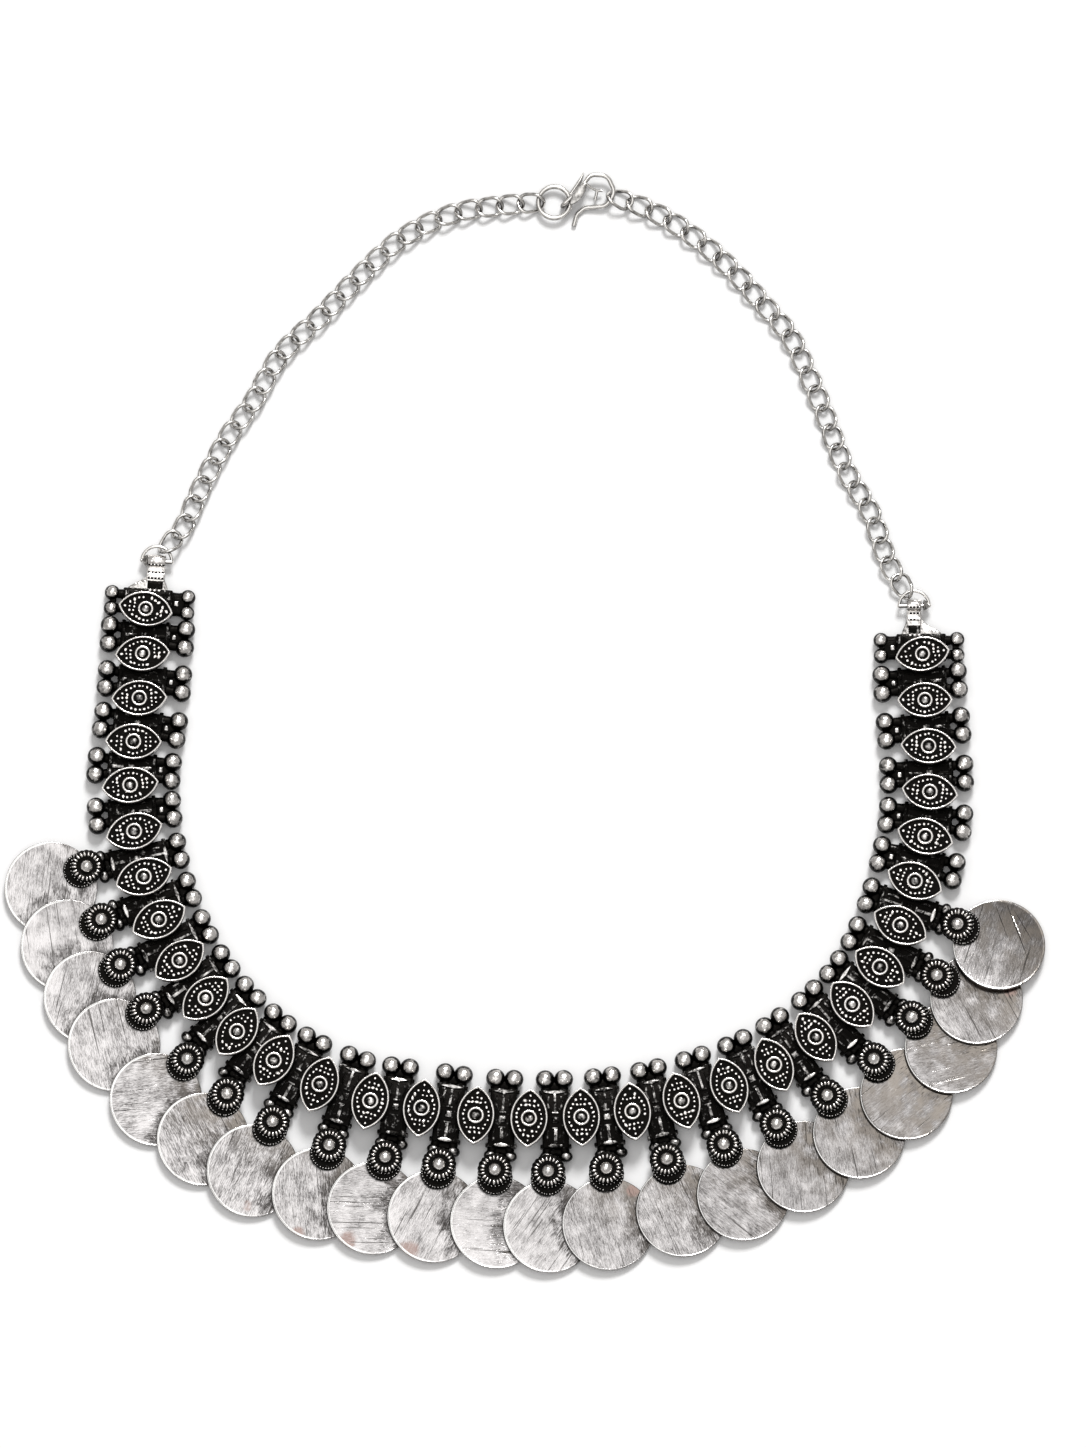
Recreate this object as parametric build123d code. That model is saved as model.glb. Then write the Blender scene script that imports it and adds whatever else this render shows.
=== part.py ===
from build123d import *
from math import acos, asin, atan, ceil, cos, degrees, hypot, radians, sin, sqrt, tan
import os
import random

# A coin collar of oxidised silver, lying flat with its clasp towards +Y.
# Millimetres, +Z up. The origin is under the middle of the collar's box, on the surface it lies on.
# A band of cross bars and eye-shaped tiles on two threads carries the coins along its outer edge.

# Band
tile_count = 32
thread_diameter = 0.45
thread_clearance = 0.4
thread_side = 2.5
thread_height = 1.3
bar_settle = 0.5
end_bar_setback = 1.62

# Cross bars between the tiles
plain_bar_inner_end = 4.6
plain_bar_outer_end = 4.3
coin_bar_inner_end = 5.5
coin_bar_outer_end = 5.2
bar_width = 4.8
shoulder_length = 0.7
shoulder_width = 5.6
shoulder_drop = 0.45
bar_height = 2.6
bar_edge = 0.25
relief_height = 0.32
ball_radius = 1.55
inner_ball_reach = 7.35
outer_ball_reach = 6.3
ball_spacing = 3.24
end_ball_radius = 1.32
end_ball_spacing = 2.76
arm_radius = 0.55
hanger_ball_radius = 1.25
hanger_ball_reach = 6.6
hanger_pin_radius = 0.3
hanger_pin_reach = 7.0
floor_clearance = 0.02

# Eye tiles
eye_length = 10.5
eye_width = 6.45
eye_wall_height = 2.15
eye_rim = 0.32
eye_sink = 0.55
eye_over_bar = 0.23
eye_foot_length = 6.8
eye_foot_width = 1.1
eye_ring_radius = 1.3
eye_ring_wall = 0.4
eye_bead_radius = 0.48
end_eye_share = 0.93
taper_tiles = 6
eye_lean = 6.0
eye_lean_scatter = 2.0
first_eye_lean = -6.0
last_eye_lean = 8.0

# Coin pendants
coin_radius = 8.35
coin_thickness = 0.7
coin_chamfer = 0.12
coin_gap = 0.13
closest_coin_step = 8.7
last_coin_tilt = 9.0
rosette_reach = 9.4
rosette_radius = 3.3
rosette_base = 2.96
rosette_height = 1.1
grain_ring_radius = 1.98
grain_radius = 0.45
rosette_dome_radius = 1.08
post_radius = 1.0
post_inset = 1.65
hanger_ring_wire = 0.7
hanger_ring_clearance = 0.15

# End plates with a folded strap, and the shackles through the straps
plate_bottom = 0.6
plate_thickness = 1.5
plate_foot = 7.4
strap_width = 2.8
strap_inward = 1.3
strap_start = 5.2
strap_wall = 0.5
loop_distance = 7.6
loop_height = 1.9
pin_radius = 0.4
pin_clearance = 0.22
shackle_radius = 2.7
shackle_wire = 0.6
shackle_head_radius = 1.1
shackle_head_length = 1.4
shackle_hook_angle = 62.0

# Chains, clasp ring and clasp hook
link_length = 5.3
link_width = 3.8
link_wire = 0.6
link_twist = 38.0
link_roll = 4.0
end_link_roll = 20.0
end_roll_fade = 0.6
link_gap = 0.3
clasp_ring_radius = 2.88
clasp_ring_wire = 0.9
clasp_ring_height = 1.42
hook_wire = 0.8

# Band route: the middle of some of the tiles, as tile number, x and y
band_route = [
    (1, -68.5, 19.7), (3, -69.6, 3.5), (5, -71.2, -12.3), (7, -68.7, -28.9),
    (11, -51.9, -56.9), (12, -45.3, -62.1), (14, -28.0, -69.4), (15, -18.8, -70.7),
    (16, -9.1, -72.0), (20, 27.8, -69.4), (22, 44.4, -62.9), (24, 58.4, -52.0),
    (28, 71.6, -21.6), (32, 71.2, 11.5),
]

# Chain routes between the shackles and the clasp, as x, y and height
left_chain_route = [
    (-62.2, 34.6, 1.15), (-59.1, 41.3, 1.02), (-53.7, 51.7, 1.02), (-49.2, 58.2, 1.02),
    (-44.9, 65.8, 1.02), (-36.3, 74.4, 1.02), (-29.8, 81.3, 1.02), (-22.6, 87.8, 1.02),
    (-13.2, 92.4, 1.02), (-5.0, 93.8, 1.02),
]
right_chain_route = [
    (21.5, 93.4, 1.02), (31.6, 87.1, 1.02), (37.5, 81.7, 1.02), (42.6, 76.0, 1.02),
    (47.4, 70.2, 1.02), (50.7, 63.3, 1.02), (53.7, 56.0, 1.02), (57.9, 44.9, 1.02),
    (61.8, 38.2, 1.02), (65.8, 27.4, 1.4),
]

# Clasp ring's middle, and the bends of the hook: tail, loop, crossing, turn in the ring, tip
clasp_ring_middle = (5.0, 94.4)
hook_route = [
    (8.4, 90.1, 0.43), (9.1, 92.4, 0.43), (10.6, 93.3, 0.55), (14.4, 93.3, 1.02),
    (16.0, 96.2, 1.5), (14.6, 99.2, 1.9), (11.6, 99.4, 2.1), (9.4, 96.4, 2.42),
    (6.7, 93.9, 2.42), (6.4, 93.6, 0.43), (10.0, 99.8, 0.43),
]
hook_bends = [1.6, 1.4, 1.9, 2.0, 1.8, 1.7, 3.0, 0.7, 0.7]
hook_catch = (15.55, 95.5, 1.36)

# How each pendant lies: slide along the band as a share of a bar's width, swing in degrees,
# and how far the coin's edge passes the rosette's middle, as a share of the coin's radius
pendant_lie = [
    (-0.08, 17, -0.11), (0.02, 16, -0.08), (-0.1, 19, -0.05), (-0.15, 12, 0.02),
    (0.27, 8, 0.08), (0.25, 10, 0.08), (0.06, 5, 0.11), (0.04, 5, 0.05), (-0.15, -7, 0.1),
    (-0.08, 2, 0.1), (-0.17, 5, 0.1), (-0.31, 0, 0.16), (-0.25, -4, 0.17), (-0.06, 5, 0.13),
    (0.08, 4, 0.14), (0.1, 8, 0.06), (0.12, 8, 0.04), (0.19, 2, 0.01), (0.15, 0, 0.06),
    (-0.12, -3, -0.02), (-0.06, -7, -0.01),
]
first_pendant_bar = 6

# Raised strips on a bar's face: from and to as shares of the way to its inner (minus) or outer end,
# then their middle and width as shares of its width
bar_relief = [
    (-0.94, -0.86, 0.0, 0.86), (-0.86, -0.20, 0.0, 0.12), (-0.23, -0.18, 0.0, 0.26),
    (-0.76, -0.36, 0.22, 0.07), (-0.76, -0.36, -0.22, 0.07), (-0.10, 0.12, 0.0, 0.26),
    (0.26, 0.31, 0.0, 0.28), (0.31, 0.84, 0.0, 0.15), (0.82, 0.93, 0.0, 0.50),
]


# Smooth curve through rows of a parameter and a point, read at one value of the parameter
def smooth(rows, at):
    keys = [row[0] for row in rows]
    points = [row[1:] for row in rows]
    slopes = []
    for i in range(len(rows)):
        before, after = max(i - 1, 0), min(i + 1, len(rows) - 1)
        near = keys[i] - keys[before]
        far = keys[after] - keys[i]
        slope = []
        for low, here, high in zip(points[before], points[i], points[after]):
            ahead = (high - here) / far if far else 0.0
            behind = (here - low) / near if near else 0.0
            slope.append((behind * far + ahead * near) / (near + far) if near and far else ahead + behind)
        slopes.append(slope)
    i = max(k for k in range(len(rows) - 1) if k == 0 or keys[k] <= at)
    span = keys[i + 1] - keys[i]
    u = (at - keys[i]) / span
    weights = (2 * u**3 - 3 * u**2 + 1, (u**3 - 2 * u**2 + u) * span, 3 * u**2 - 2 * u**3, (u**3 - u**2) * span)
    rates = ((6 * u**2 - 6 * u) / span, 3 * u**2 - 4 * u + 1, (6 * u - 6 * u**2) / span, 3 * u**2 - 2 * u)
    parts = list(zip(points[i], slopes[i], points[i + 1], slopes[i + 1]))
    place = [sum(w * p for w, p in zip(weights, part)) for part in parts]
    travel = [sum(r * p for r, p in zip(rates, part)) for part in parts]
    return place, travel


# Frame on the band: X points outwards, Y along the band
def band_frame(station, along=0.0, settle=0.0):
    (x, y), (dx, dy) = smooth(band_route, station)
    size = hypot(dx, dy)
    dx, dy = dx / size, dy / size
    turn = degrees(acos(max(-1.0, min(1.0, dy)))) * (1 if -dx > 0 else -1)
    return Location((x + dx * along, y + dy * along - settle * abs(dy), 0), (0, 0, turn))


def lens(length, width):
    half = Polyline((-length / 2, 0), (length / 2, 0))
    upper = ThreePointArc((-length / 2, 0), (0, width / 2), (length / 2, 0))
    side = make_face([half, upper])
    return side + mirror(side, about=Plane.XZ)


# Length of the lens that lies a wall's width inside another
def inner_lens(length, width, wall):
    radius = (length**2 / 4 + width**2 / 4) / width
    offset = radius - width / 2
    return 2 * sqrt((radius - wall) ** 2 - offset**2), width - 2 * wall


thread_hole = thread_diameter + 2 * thread_clearance
eye_floor = bar_height + relief_height + eye_over_bar
eye_top = eye_floor + eye_wall_height


def rod(start, end, radius):
    line = Line(start, end)
    return sweep(Plane(start, z_dir=line % 0) * Circle(radius), line)


# Ball on a short arm, turned about the arm; the ball's seam faces up
def ball_on_arm(ball, root, radius):
    ball, root = Vector(*ball), Vector(*root)
    neck = sqrt(radius**2 - arm_radius**2)
    reach = (root - ball).length
    profile = make_face([
        Line((0, -radius), (0, reach)), Line((0, reach), (arm_radius, reach)),
        Line((arm_radius, reach), (arm_radius, neck)), ThreePointArc((arm_radius, neck), (radius, 0), (0, -radius)),
    ])
    turned = Rot(90, 0, 0) * revolve(profile, Axis.Y)
    return Plane(ball, x_dir=(0, 0, 1), z_dir=root - ball).location * turned


def bar_arms(bar_end, reach, spacing, radius, height):
    arms = []
    side = 1 if reach > 0 else -1
    for lane in (-1, 1):
        ball = (reach, lane * spacing / 2, height)
        root = (bar_end - side * arm_radius, lane * (spacing / 2 - arm_radius / 2), height)
        arms.append(ball_on_arm(ball, root, radius))
    return arms


def bar_body(inner_end, outer_end, has_shoulders):
    body = Box(inner_end + outer_end, bar_width, bar_height, align=(Align.CENTER, Align.CENTER, Align.MIN))
    body = chamfer(body.edges().group_by(Axis.Z)[-1], bar_edge)
    body = Pos((outer_end - inner_end) / 2, 0, 0) * body
    for start, end, middle, width in bar_relief:
        start *= inner_end if start < 0 else outer_end
        end *= inner_end if end < 0 else outer_end
        strip = Box(end - start, width * bar_width, 2 * relief_height)
        body += Pos((start + end) / 2, middle * bar_width, bar_height) * strip
    if has_shoulders:
        shoulder = Box(shoulder_length, shoulder_width, bar_height - shoulder_drop,
                       align=(Align.CENTER, Align.CENTER, Align.MIN))
        body += Pos(shoulder_length / 2 + bar_edge / 2 - inner_end, 0, 0) * shoulder
        body += Pos(outer_end - bar_edge / 2 - shoulder_length / 2, 0, 0) * shoulder
    return body


def bar_with_balls(has_hanger, is_end_bar, spacing, radius):
    inner_end, outer_end = plain_bar_inner_end, plain_bar_outer_end
    if has_hanger:
        inner_end, outer_end = coin_bar_inner_end, coin_bar_outer_end
    pieces = bar_arms(-inner_end, -inner_ball_reach, spacing, radius, radius + floor_clearance)
    if has_hanger:
        lane = 2 * (hanger_ball_radius + hanger_ring_wire / 2 + hanger_ring_clearance)
        pieces += bar_arms(outer_end, hanger_ball_reach, lane, hanger_ball_radius, hanger_height)
        pin_end = lane / 2
        pin = rod((hanger_pin_reach, -pin_end, hanger_height), (hanger_pin_reach, pin_end, hanger_height),
                  hanger_pin_radius)
        pieces.append(pin)
    else:
        pieces += bar_arms(outer_end, outer_ball_reach, spacing, radius, radius + floor_clearance)
    return bar_body(inner_end, outer_end, not is_end_bar).fuse(*pieces)


# Two thread holes through a bar or a tile's foot, between two places along the band
def drill(body, start, end):
    for side in (-1, 1):
        hole = Rot(90, 0, 0) * Cylinder(thread_hole / 2, end - start)
        body -= Pos(side * thread_side, (start + end) / 2, thread_height) * hole
    return body


def cross_bar(has_hanger):
    return drill(bar_with_balls(has_hanger, False, ball_spacing, ball_radius), -bar_width, bar_width)


hanger_ring_inner = hanger_pin_radius + 3 * hanger_ring_clearance
hanger_ring_middle = hanger_ring_inner + hanger_ring_wire / 2
hanger_height = hanger_ring_middle + hanger_ring_wire / 2 + floor_clearance + 0.1


# Tiles near the band's ends are a little smaller
def eye_share(tile):
    from_end = min(tile - 1, tile_count - tile)
    return 1 - (1 - end_eye_share) * max(0.0, 1 - from_end / taper_tiles)


def eye_head(tile, lean):
    length, width = eye_length * eye_share(tile), eye_width * eye_share(tile)
    head = Pos(0, 0, eye_floor) * extrude(lens(length, width), eye_wall_height)
    well = extrude(lens(*inner_lens(length, width, eye_rim)), eye_sink + 1)
    head -= Pos(0, 0, eye_top - eye_sink) * well
    ring = Cylinder(eye_ring_radius, 2 * eye_sink) - Cylinder(eye_ring_radius - eye_ring_wall, 3 * eye_sink)
    head += Pos(0, 0, eye_top - eye_sink) * ring
    head += Pos(0, 0, eye_top - eye_sink) * Sphere(eye_bead_radius)
    return Rot(0, 0, lean) * head


# A tile on its own foot, which the two threads pass through
def eye_tile(tile, lean):
    foot = Box(eye_foot_length, eye_foot_width, eye_floor + eye_over_bar,
               align=(Align.CENTER, Align.CENTER, Align.MIN))
    return drill(foot + eye_head(tile, lean), -eye_foot_width, eye_foot_width)


def eye_leans():
    chance = random.Random(5)
    leans = []
    for tile in range(1, tile_count + 1):
        share = 1 - 2 * (tile - 1) / (tile_count - 1)
        leans.append(eye_lean * share + chance.uniform(-eye_lean_scatter, eye_lean_scatter))
    leans[0], leans[-1] = first_eye_lean, last_eye_lean
    return leans


# Coin and rosette soldered together, with the ring that holds the bar's pin
def pendant(slide, swing, drop, tilt):
    reach = coin_radius * (1 + drop)
    sunk = coin_radius * sin(radians(tilt)) + coin_thickness / 2 + floor_clearance
    disc = Cylinder(coin_radius, coin_thickness)
    disc = chamfer(disc.edges(), coin_chamfer)
    coin = Pos(reach, 0, sunk) * Rot(-tilt, 0, 0) * disc
    post_length = rosette_base + rosette_height / 2 - sunk
    post = Cylinder(post_radius, post_length, align=(Align.CENTER, Align.CENTER, Align.MIN))
    coin += Pos(reach - coin_radius + post_inset, 0, sunk) * post
    base = Cylinder(rosette_radius, rosette_height, align=(Align.CENTER, Align.CENTER, Align.MIN))
    top = rosette_base + rosette_height
    rosette = Pos(0, 0, rosette_base) * base + Pos(0, 0, top) * Torus(grain_ring_radius, grain_radius)
    rosette += Pos(0, 0, top) * Sphere(rosette_dome_radius)
    turned = Pos(rosette_reach, slide * bar_width, 0) * Rot(0, 0, swing) * (coin + rosette)
    ring_reach = hanger_pin_reach + hanger_ring_inner - hanger_pin_radius - hanger_ring_clearance
    ring = Rot(90, 0, 0) * Torus(hanger_ring_middle, hanger_ring_wire / 2)
    return turned + Pos(ring_reach, 0, hanger_height) * ring


# End bar with its tile, the flared plate and the strap folded round the shackle's pin
def end_plate(tile, lean, away):
    blind_end = thread_diameter + thread_clearance
    bar = bar_with_balls(False, True, end_ball_spacing, end_ball_radius)
    bar = drill(bar, min(-away * bar_width, away * blind_end), max(-away * bar_width, away * blind_end))
    foot = Box(eye_foot_length, bar_width - 4 * bar_edge, 2 * relief_height + eye_over_bar,
               align=(Align.CENTER, Align.CENTER, Align.MIN))
    bar += Pos(0, 0, bar_height - relief_height / 2) * foot
    bar += Pos(0, -away * end_bar_setback, 0) * eye_head(tile, lean)
    edge, start, loop = bar_width / 2 - bar_edge, strap_start, loop_distance
    flare = Polyline((-plate_foot / 2, away * edge), (-strap_inward - strap_width / 2, away * start),
                     (-strap_inward + strap_width / 2, away * start), (plate_foot / 2, away * edge), close=True)
    bar += Pos(0, 0, plate_bottom) * extrude(make_face(flare), plate_thickness)
    outer = pin_radius + pin_clearance + strap_wall
    strap_length = loop - start + bar_edge
    strap = Box(strap_width, strap_length, plate_thickness, align=(Align.CENTER, Align.CENTER, Align.MIN))
    bar += Pos(-strap_inward, away * (loop - strap_length / 2), plate_bottom) * strap
    barrel = Rot(0, 90, 0) * Cylinder(outer, strap_width)
    bore = Rot(0, 90, 0) * Cylinder(pin_radius + pin_clearance, 2 * strap_width)
    bar += Pos(-strap_inward, away * loop, loop_height) * barrel
    return bar - Pos(-strap_inward, away * loop, loop_height) * bore


# Shackle: a pin with a pointed head and a half ring from end to end of it
def shackle(away):
    pin = rod((-shackle_radius, 0, 0), (shackle_radius, 0, 0), pin_radius)
    path = ThreePointArc((-shackle_radius, 0, 0), (0, away * shackle_radius, 0), (shackle_radius, 0, 0))
    bow = sweep(Plane((-shackle_radius, 0, 0), z_dir=path % 0) * Circle(shackle_wire / 2), path)
    head_start = strap_width / 2 + pin_clearance
    head = Rot(0, 90, 0) * Cone(shackle_head_radius, 0.15, shackle_head_length,
                                align=(Align.CENTER, Align.CENTER, Align.MIN))
    ends = [Pos(side * shackle_radius, 0, 0) * Sphere(pin_radius) for side in (-1, 1)]
    return pin.fuse(bow, Pos(head_start, 0, 0) * head, *ends)


# One link, twisted so that its two ends lean opposite ways and the chain lies flat
def chain_link():
    middle_half = (link_width - link_wire) / 2
    tip = (link_length - link_wire) / 2
    twist = radians(link_twist)
    reach = middle_half / cos(twist)
    slope = atan(reach * sin(twist) / tip)
    start = Vector(tip, 0, 0)
    rise = Vector(0, cos(twist), sin(twist))
    back = Vector(-cos(slope), 0, -sin(slope))
    corner = start + rise * reach
    joint = corner + back * reach
    turn = acos(rise.dot(back))
    radius = reach / tan(turn / 2)
    middle = corner + (start + joint - corner * 2) * (1 / (2 * sin(turn / 2) ** 2))
    half_way = middle + (corner - middle).normalized() * radius
    first = ThreePointArc(start, half_way, joint)
    second = ThreePointArc(*[Vector(-p.X, p.Y, -p.Z) for p in (joint, half_way, start)])
    run = Line(joint, Vector(-joint.X, joint.Y, -joint.Z))
    path = Wire([first, run, second])
    half = sweep(Plane(start, z_dir=rise) * Circle(link_wire / 2), path)
    return half + Rot(180, 0, 0) * half


def spaced_route(points):
    rows = [(0.0, *points[0])]
    for before, after in zip(points, points[1:]):
        rows.append((rows[-1][0] + (Vector(*after) - Vector(*before)).length, *after))
    return rows


# Links from one catch to the other; the spacing follows from how far a pulled link reaches
def chain(link, start, start_radius, points, end, end_radius):
    rows = spaced_route([start, *points, end])
    reach = link_length / 2 - link_wire - link_gap
    first, last = reach - start_radius, rows[-1][0] - (reach - end_radius)
    pulled = link_length - 2 * link_wire - link_gap
    count = ceil((last - first) / pulled) + 1
    pitch = (last - first) / (count - 1)
    links = []
    for i in range(count):
        at = first + i * pitch
        place, _ = smooth(rows, at)
        ahead, _ = smooth(rows, min(at + pitch / 2, rows[-1][0]))
        behind, _ = smooth(rows, max(at - pitch / 2, 0.0))
        along = (Vector(*ahead) - Vector(*behind)).normalized()
        upright = (Vector(0, 0, 1) - along * along.Z).normalized()
        roll = end_link_roll * (max(0.0, 1 - end_roll_fade * (count - 1 - i)) - max(0.0, 1 - end_roll_fade * i))
        if 1 < i < count - 2:
            roll = link_roll * sin(2.3 * i)
        links.append(Plane(Vector(*place), x_dir=along, z_dir=upright).location * Rot(roll, 0, 0) * link)
    return links


# A thread as short straight runs joined by wide arcs
def thread(points):
    radii = []
    for before, corner, after in zip(points, points[1:], points[2:]):
        arriving, leaving = corner - before, after - corner
        turn = radians(arriving.get_angle(leaving))
        radii.append(0.45 * min(arriving.length, leaving.length) / tan(turn / 2))
    path = FilletPolyline(*points, radius=radii)
    return sweep(Plane(points[0], z_dir=points[1] - points[0]) * Circle(thread_diameter / 2), path)


def build():
    leans = eye_leans()
    nodes = {}
    first_frame = band_frame(1, along=-end_bar_setback)
    last_frame = band_frame(tile_count, along=end_bar_setback)
    nodes["end_plate_left"] = first_frame * end_plate(1, leans[0], -1)
    nodes["end_plate_right"] = last_frame * end_plate(tile_count, leans[-1], 1)
    shackles = {}
    for name, frame, away in (("left", first_frame, -1), ("right", last_frame, 1)):
        seat = frame * Pos(-strap_inward, away * loop_distance, loop_height)
        nodes["shackle_" + name] = seat * shackle(away)
        angle = radians(shackle_hook_angle)
        catch = seat * Pos(-shackle_radius * cos(angle), away * shackle_radius * sin(angle), 0)
        shackles[name] = tuple(catch.position)

    bars = {False: cross_bar(False), True: cross_bar(True)}
    last_pendant_bar = first_pendant_bar + len(pendant_lie) - 1
    frames = [first_frame]
    bar_solids, tile_solids = [], []
    for bar in range(1, tile_count):
        frame = band_frame(bar + 0.5, settle=bar_settle)
        bar_solids.append(frame * bars[first_pendant_bar <= bar <= last_pendant_bar])
        frames.append(frame)
        if bar + 1 < tile_count:
            tile_frame = band_frame(bar + 1)
            tile_solids.append(tile_frame * eye_tile(bar + 1, leans[bar]))
            frames.append(tile_frame)
    frames.append(last_frame)
    nodes["cross_bars"] = Compound(bar_solids)
    nodes["eye_tiles"] = Compound(tile_solids)

    for name, side in (("outer", 1), ("inner", -1)):
        points = [(frame * Pos(side * thread_side, 0, thread_height)).position for frame in frames]
        nodes["band_thread_" + name] = thread(points)

    coin_tilt = degrees(asin((coin_thickness + coin_gap) / closest_coin_step))
    for i, (slide, swing, drop) in enumerate(pendant_lie):
        tilt = last_coin_tilt if i == len(pendant_lie) - 1 else coin_tilt
        frame = band_frame(first_pendant_bar + i + 0.5, settle=bar_settle)
        nodes[f"coin_pendant_{i + 1:02d}"] = frame * pendant(slide, swing, drop, tilt)

    ring_x, ring_y = clasp_ring_middle
    nodes["clasp_ring"] = Pos(ring_x, ring_y, clasp_ring_height) * Torus(clasp_ring_radius, clasp_ring_wire / 2)
    hook_points = [Vector(*point) for point in hook_route]
    hook_path = FilletPolyline(*hook_points, radius=hook_bends)
    hook_start = Plane(hook_points[0], z_dir=hook_points[1] - hook_points[0])
    nodes["clasp_hook"] = sweep(hook_start * Circle(hook_wire / 2), hook_path)

    link = chain_link()
    ring_catch = (ring_x - clasp_ring_radius, ring_y, clasp_ring_height)
    left = chain(link, shackles["left"], shackle_wire / 2, left_chain_route, ring_catch, clasp_ring_wire / 2)
    right = chain(link, hook_catch, hook_wire / 2, right_chain_route, shackles["right"], shackle_wire / 2)
    nodes["chain_left"] = Compound(left)
    nodes["chain_right"] = Compound(right)
    return nodes


def main():
    nodes = build()
    box = Compound(list(nodes.values())).bounding_box()
    middle = Pos(-box.center().X, -box.center().Y, -box.min.Z)
    print("shift to the middle", middle.position, "size", box.size)
    os.makedirs("parts", exist_ok=True)
    for name, shape in nodes.items():
        export_step(middle * shape, f"parts/{name}.step")
        print(name, "solids", len(shape.solids()), "volume", round(shape.volume, 2))


main()
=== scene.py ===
import bpy
import random
from math import acos, asin, atan, atan2, ceil, copysign, cos, degrees, hypot, pi, radians, sin, sqrt, tan
from mathutils import Matrix, Vector


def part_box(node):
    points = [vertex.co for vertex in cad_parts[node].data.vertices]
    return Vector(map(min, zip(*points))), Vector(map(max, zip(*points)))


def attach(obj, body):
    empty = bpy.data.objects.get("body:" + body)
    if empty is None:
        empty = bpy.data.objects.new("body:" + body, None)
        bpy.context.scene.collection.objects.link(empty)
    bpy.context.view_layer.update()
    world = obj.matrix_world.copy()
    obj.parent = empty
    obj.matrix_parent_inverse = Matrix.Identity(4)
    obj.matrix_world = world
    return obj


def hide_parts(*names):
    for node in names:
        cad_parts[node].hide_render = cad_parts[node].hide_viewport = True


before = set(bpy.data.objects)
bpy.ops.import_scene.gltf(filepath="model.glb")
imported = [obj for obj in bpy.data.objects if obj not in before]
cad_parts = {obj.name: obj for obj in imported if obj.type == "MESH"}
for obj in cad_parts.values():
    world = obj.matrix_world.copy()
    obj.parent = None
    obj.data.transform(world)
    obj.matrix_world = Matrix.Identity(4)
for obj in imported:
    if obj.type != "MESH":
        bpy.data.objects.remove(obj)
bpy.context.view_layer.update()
print("frame loaded")


# Sockets that add, subtract and multiply by laying Math nodes
class Wire:
    def __init__(self, tree, socket=None):
        self.tree, self.socket = tree, socket

    def node(self, kind, settings=None, inputs=None, output=0):
        made = self.tree.nodes.new(kind)
        for name, value in (settings or {}).items():
            setattr(made, name, value)
        for name, value in (inputs or {}).items():
            if isinstance(value, Wire):
                self.tree.links.new(value.socket, made.inputs[name])
            else:
                made.inputs[name].default_value = value
        return Wire(self.tree, made.outputs[output])

    def maths(self, operation, *values):
        return self.node("ShaderNodeMath", {"operation": operation}, dict(enumerate(values)))

    def __add__(self, other):
        return self.maths("ADD", self, other)

    def __sub__(self, other):
        return self.maths("SUBTRACT", self, other)

    def __mul__(self, other):
        return self.maths("MULTIPLY", self, other)

    def __rsub__(self, other):
        return self.maths("SUBTRACT", other, self)

    __radd__, __rmul__ = __add__, __mul__

    def place(self):
        return self.node("ShaderNodeTexCoord", output="Object")

    def stored(self, name, output="Fac"):  # what each vertex carries under this name
        return self.node("ShaderNodeAttribute", {"attribute_name": name}, output=output)

    def ease(self, low, high):  # soft step between two levels
        return self.node("ShaderNodeMapRange", {"interpolation_type": "SMOOTHSTEP"},
                         {"Value": self, "From Min": low, "From Max": high})

    def blend(self, first, second):  # this socket is the share of the second colour
        pick = [c if isinstance(c, Wire) else (*c, 1.0) for c in (first, second)]
        return self.node("ShaderNodeMix", {"data_type": "RGBA"}, {0: self, 6: pick[0], 7: pick[1]}, 2)

    def stretch(self, scale, turn=0.0):  # this vector, turned about Z and scaled
        return self.node("ShaderNodeMapping", {}, {"Vector": self, "Scale": scale, "Rotation": (0, 0, turn)})

    def noise(self, scale, detail=2.0, rough=0.5, twist=0.0):
        return self.node("ShaderNodeTexNoise", {}, {"Vector": self, "Scale": scale, "Detail": detail,
                                                    "Roughness": rough, "Distortion": twist})

    def bump(self, strength, distance):  # this socket is the height
        return self.node("ShaderNodeBump", {}, {"Height": self, "Strength": strength, "Distance": distance})


def newFinish(name, paint):
    finish = bpy.data.materials.new(name)
    finish.use_nodes = True
    tree = finish.node_tree
    tree.nodes.clear()
    wire = Wire(tree)
    surface = wire.node("ShaderNodeBsdfPrincipled", {}, paint(wire))
    tree.links.new(surface.socket, tree.nodes.new("ShaderNodeOutputMaterial").inputs[0])
    return finish


def paintDarkSilver(wire):
    tone = {"oxideAndShade": (0.006, 0.0055, 0.005), "silver": (0.92, 0.89, 0.86), "blotch": 760.0, "grit": 3000.0,
            "dent": 0.00016}
    here = wire.place()
    blotch = here.noise(tone["blotch"], 3.0, 0.6, 0.6)
    grit = here.noise(tone["grit"])
    # where the per-vertex polish value carries painted light, the oxide colour is painted shade and the
    # silver colour a painted highlight
    wornAndLit = (wire.stored("polish") + (blotch - 0.5) * 1.7 + (grit - 0.5) * 0.6).ease(0.30, 1.05)
    return {"Base Color": wornAndLit.blend(tone["oxideAndShade"], tone["silver"]), "Metallic": 1.0,
            "Roughness": 0.36 - wornAndLit * 0.22 + grit * 0.08,
            "Normal": (blotch * 0.7 + grit * 0.3).bump(0.9, tone["dent"])}


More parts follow.
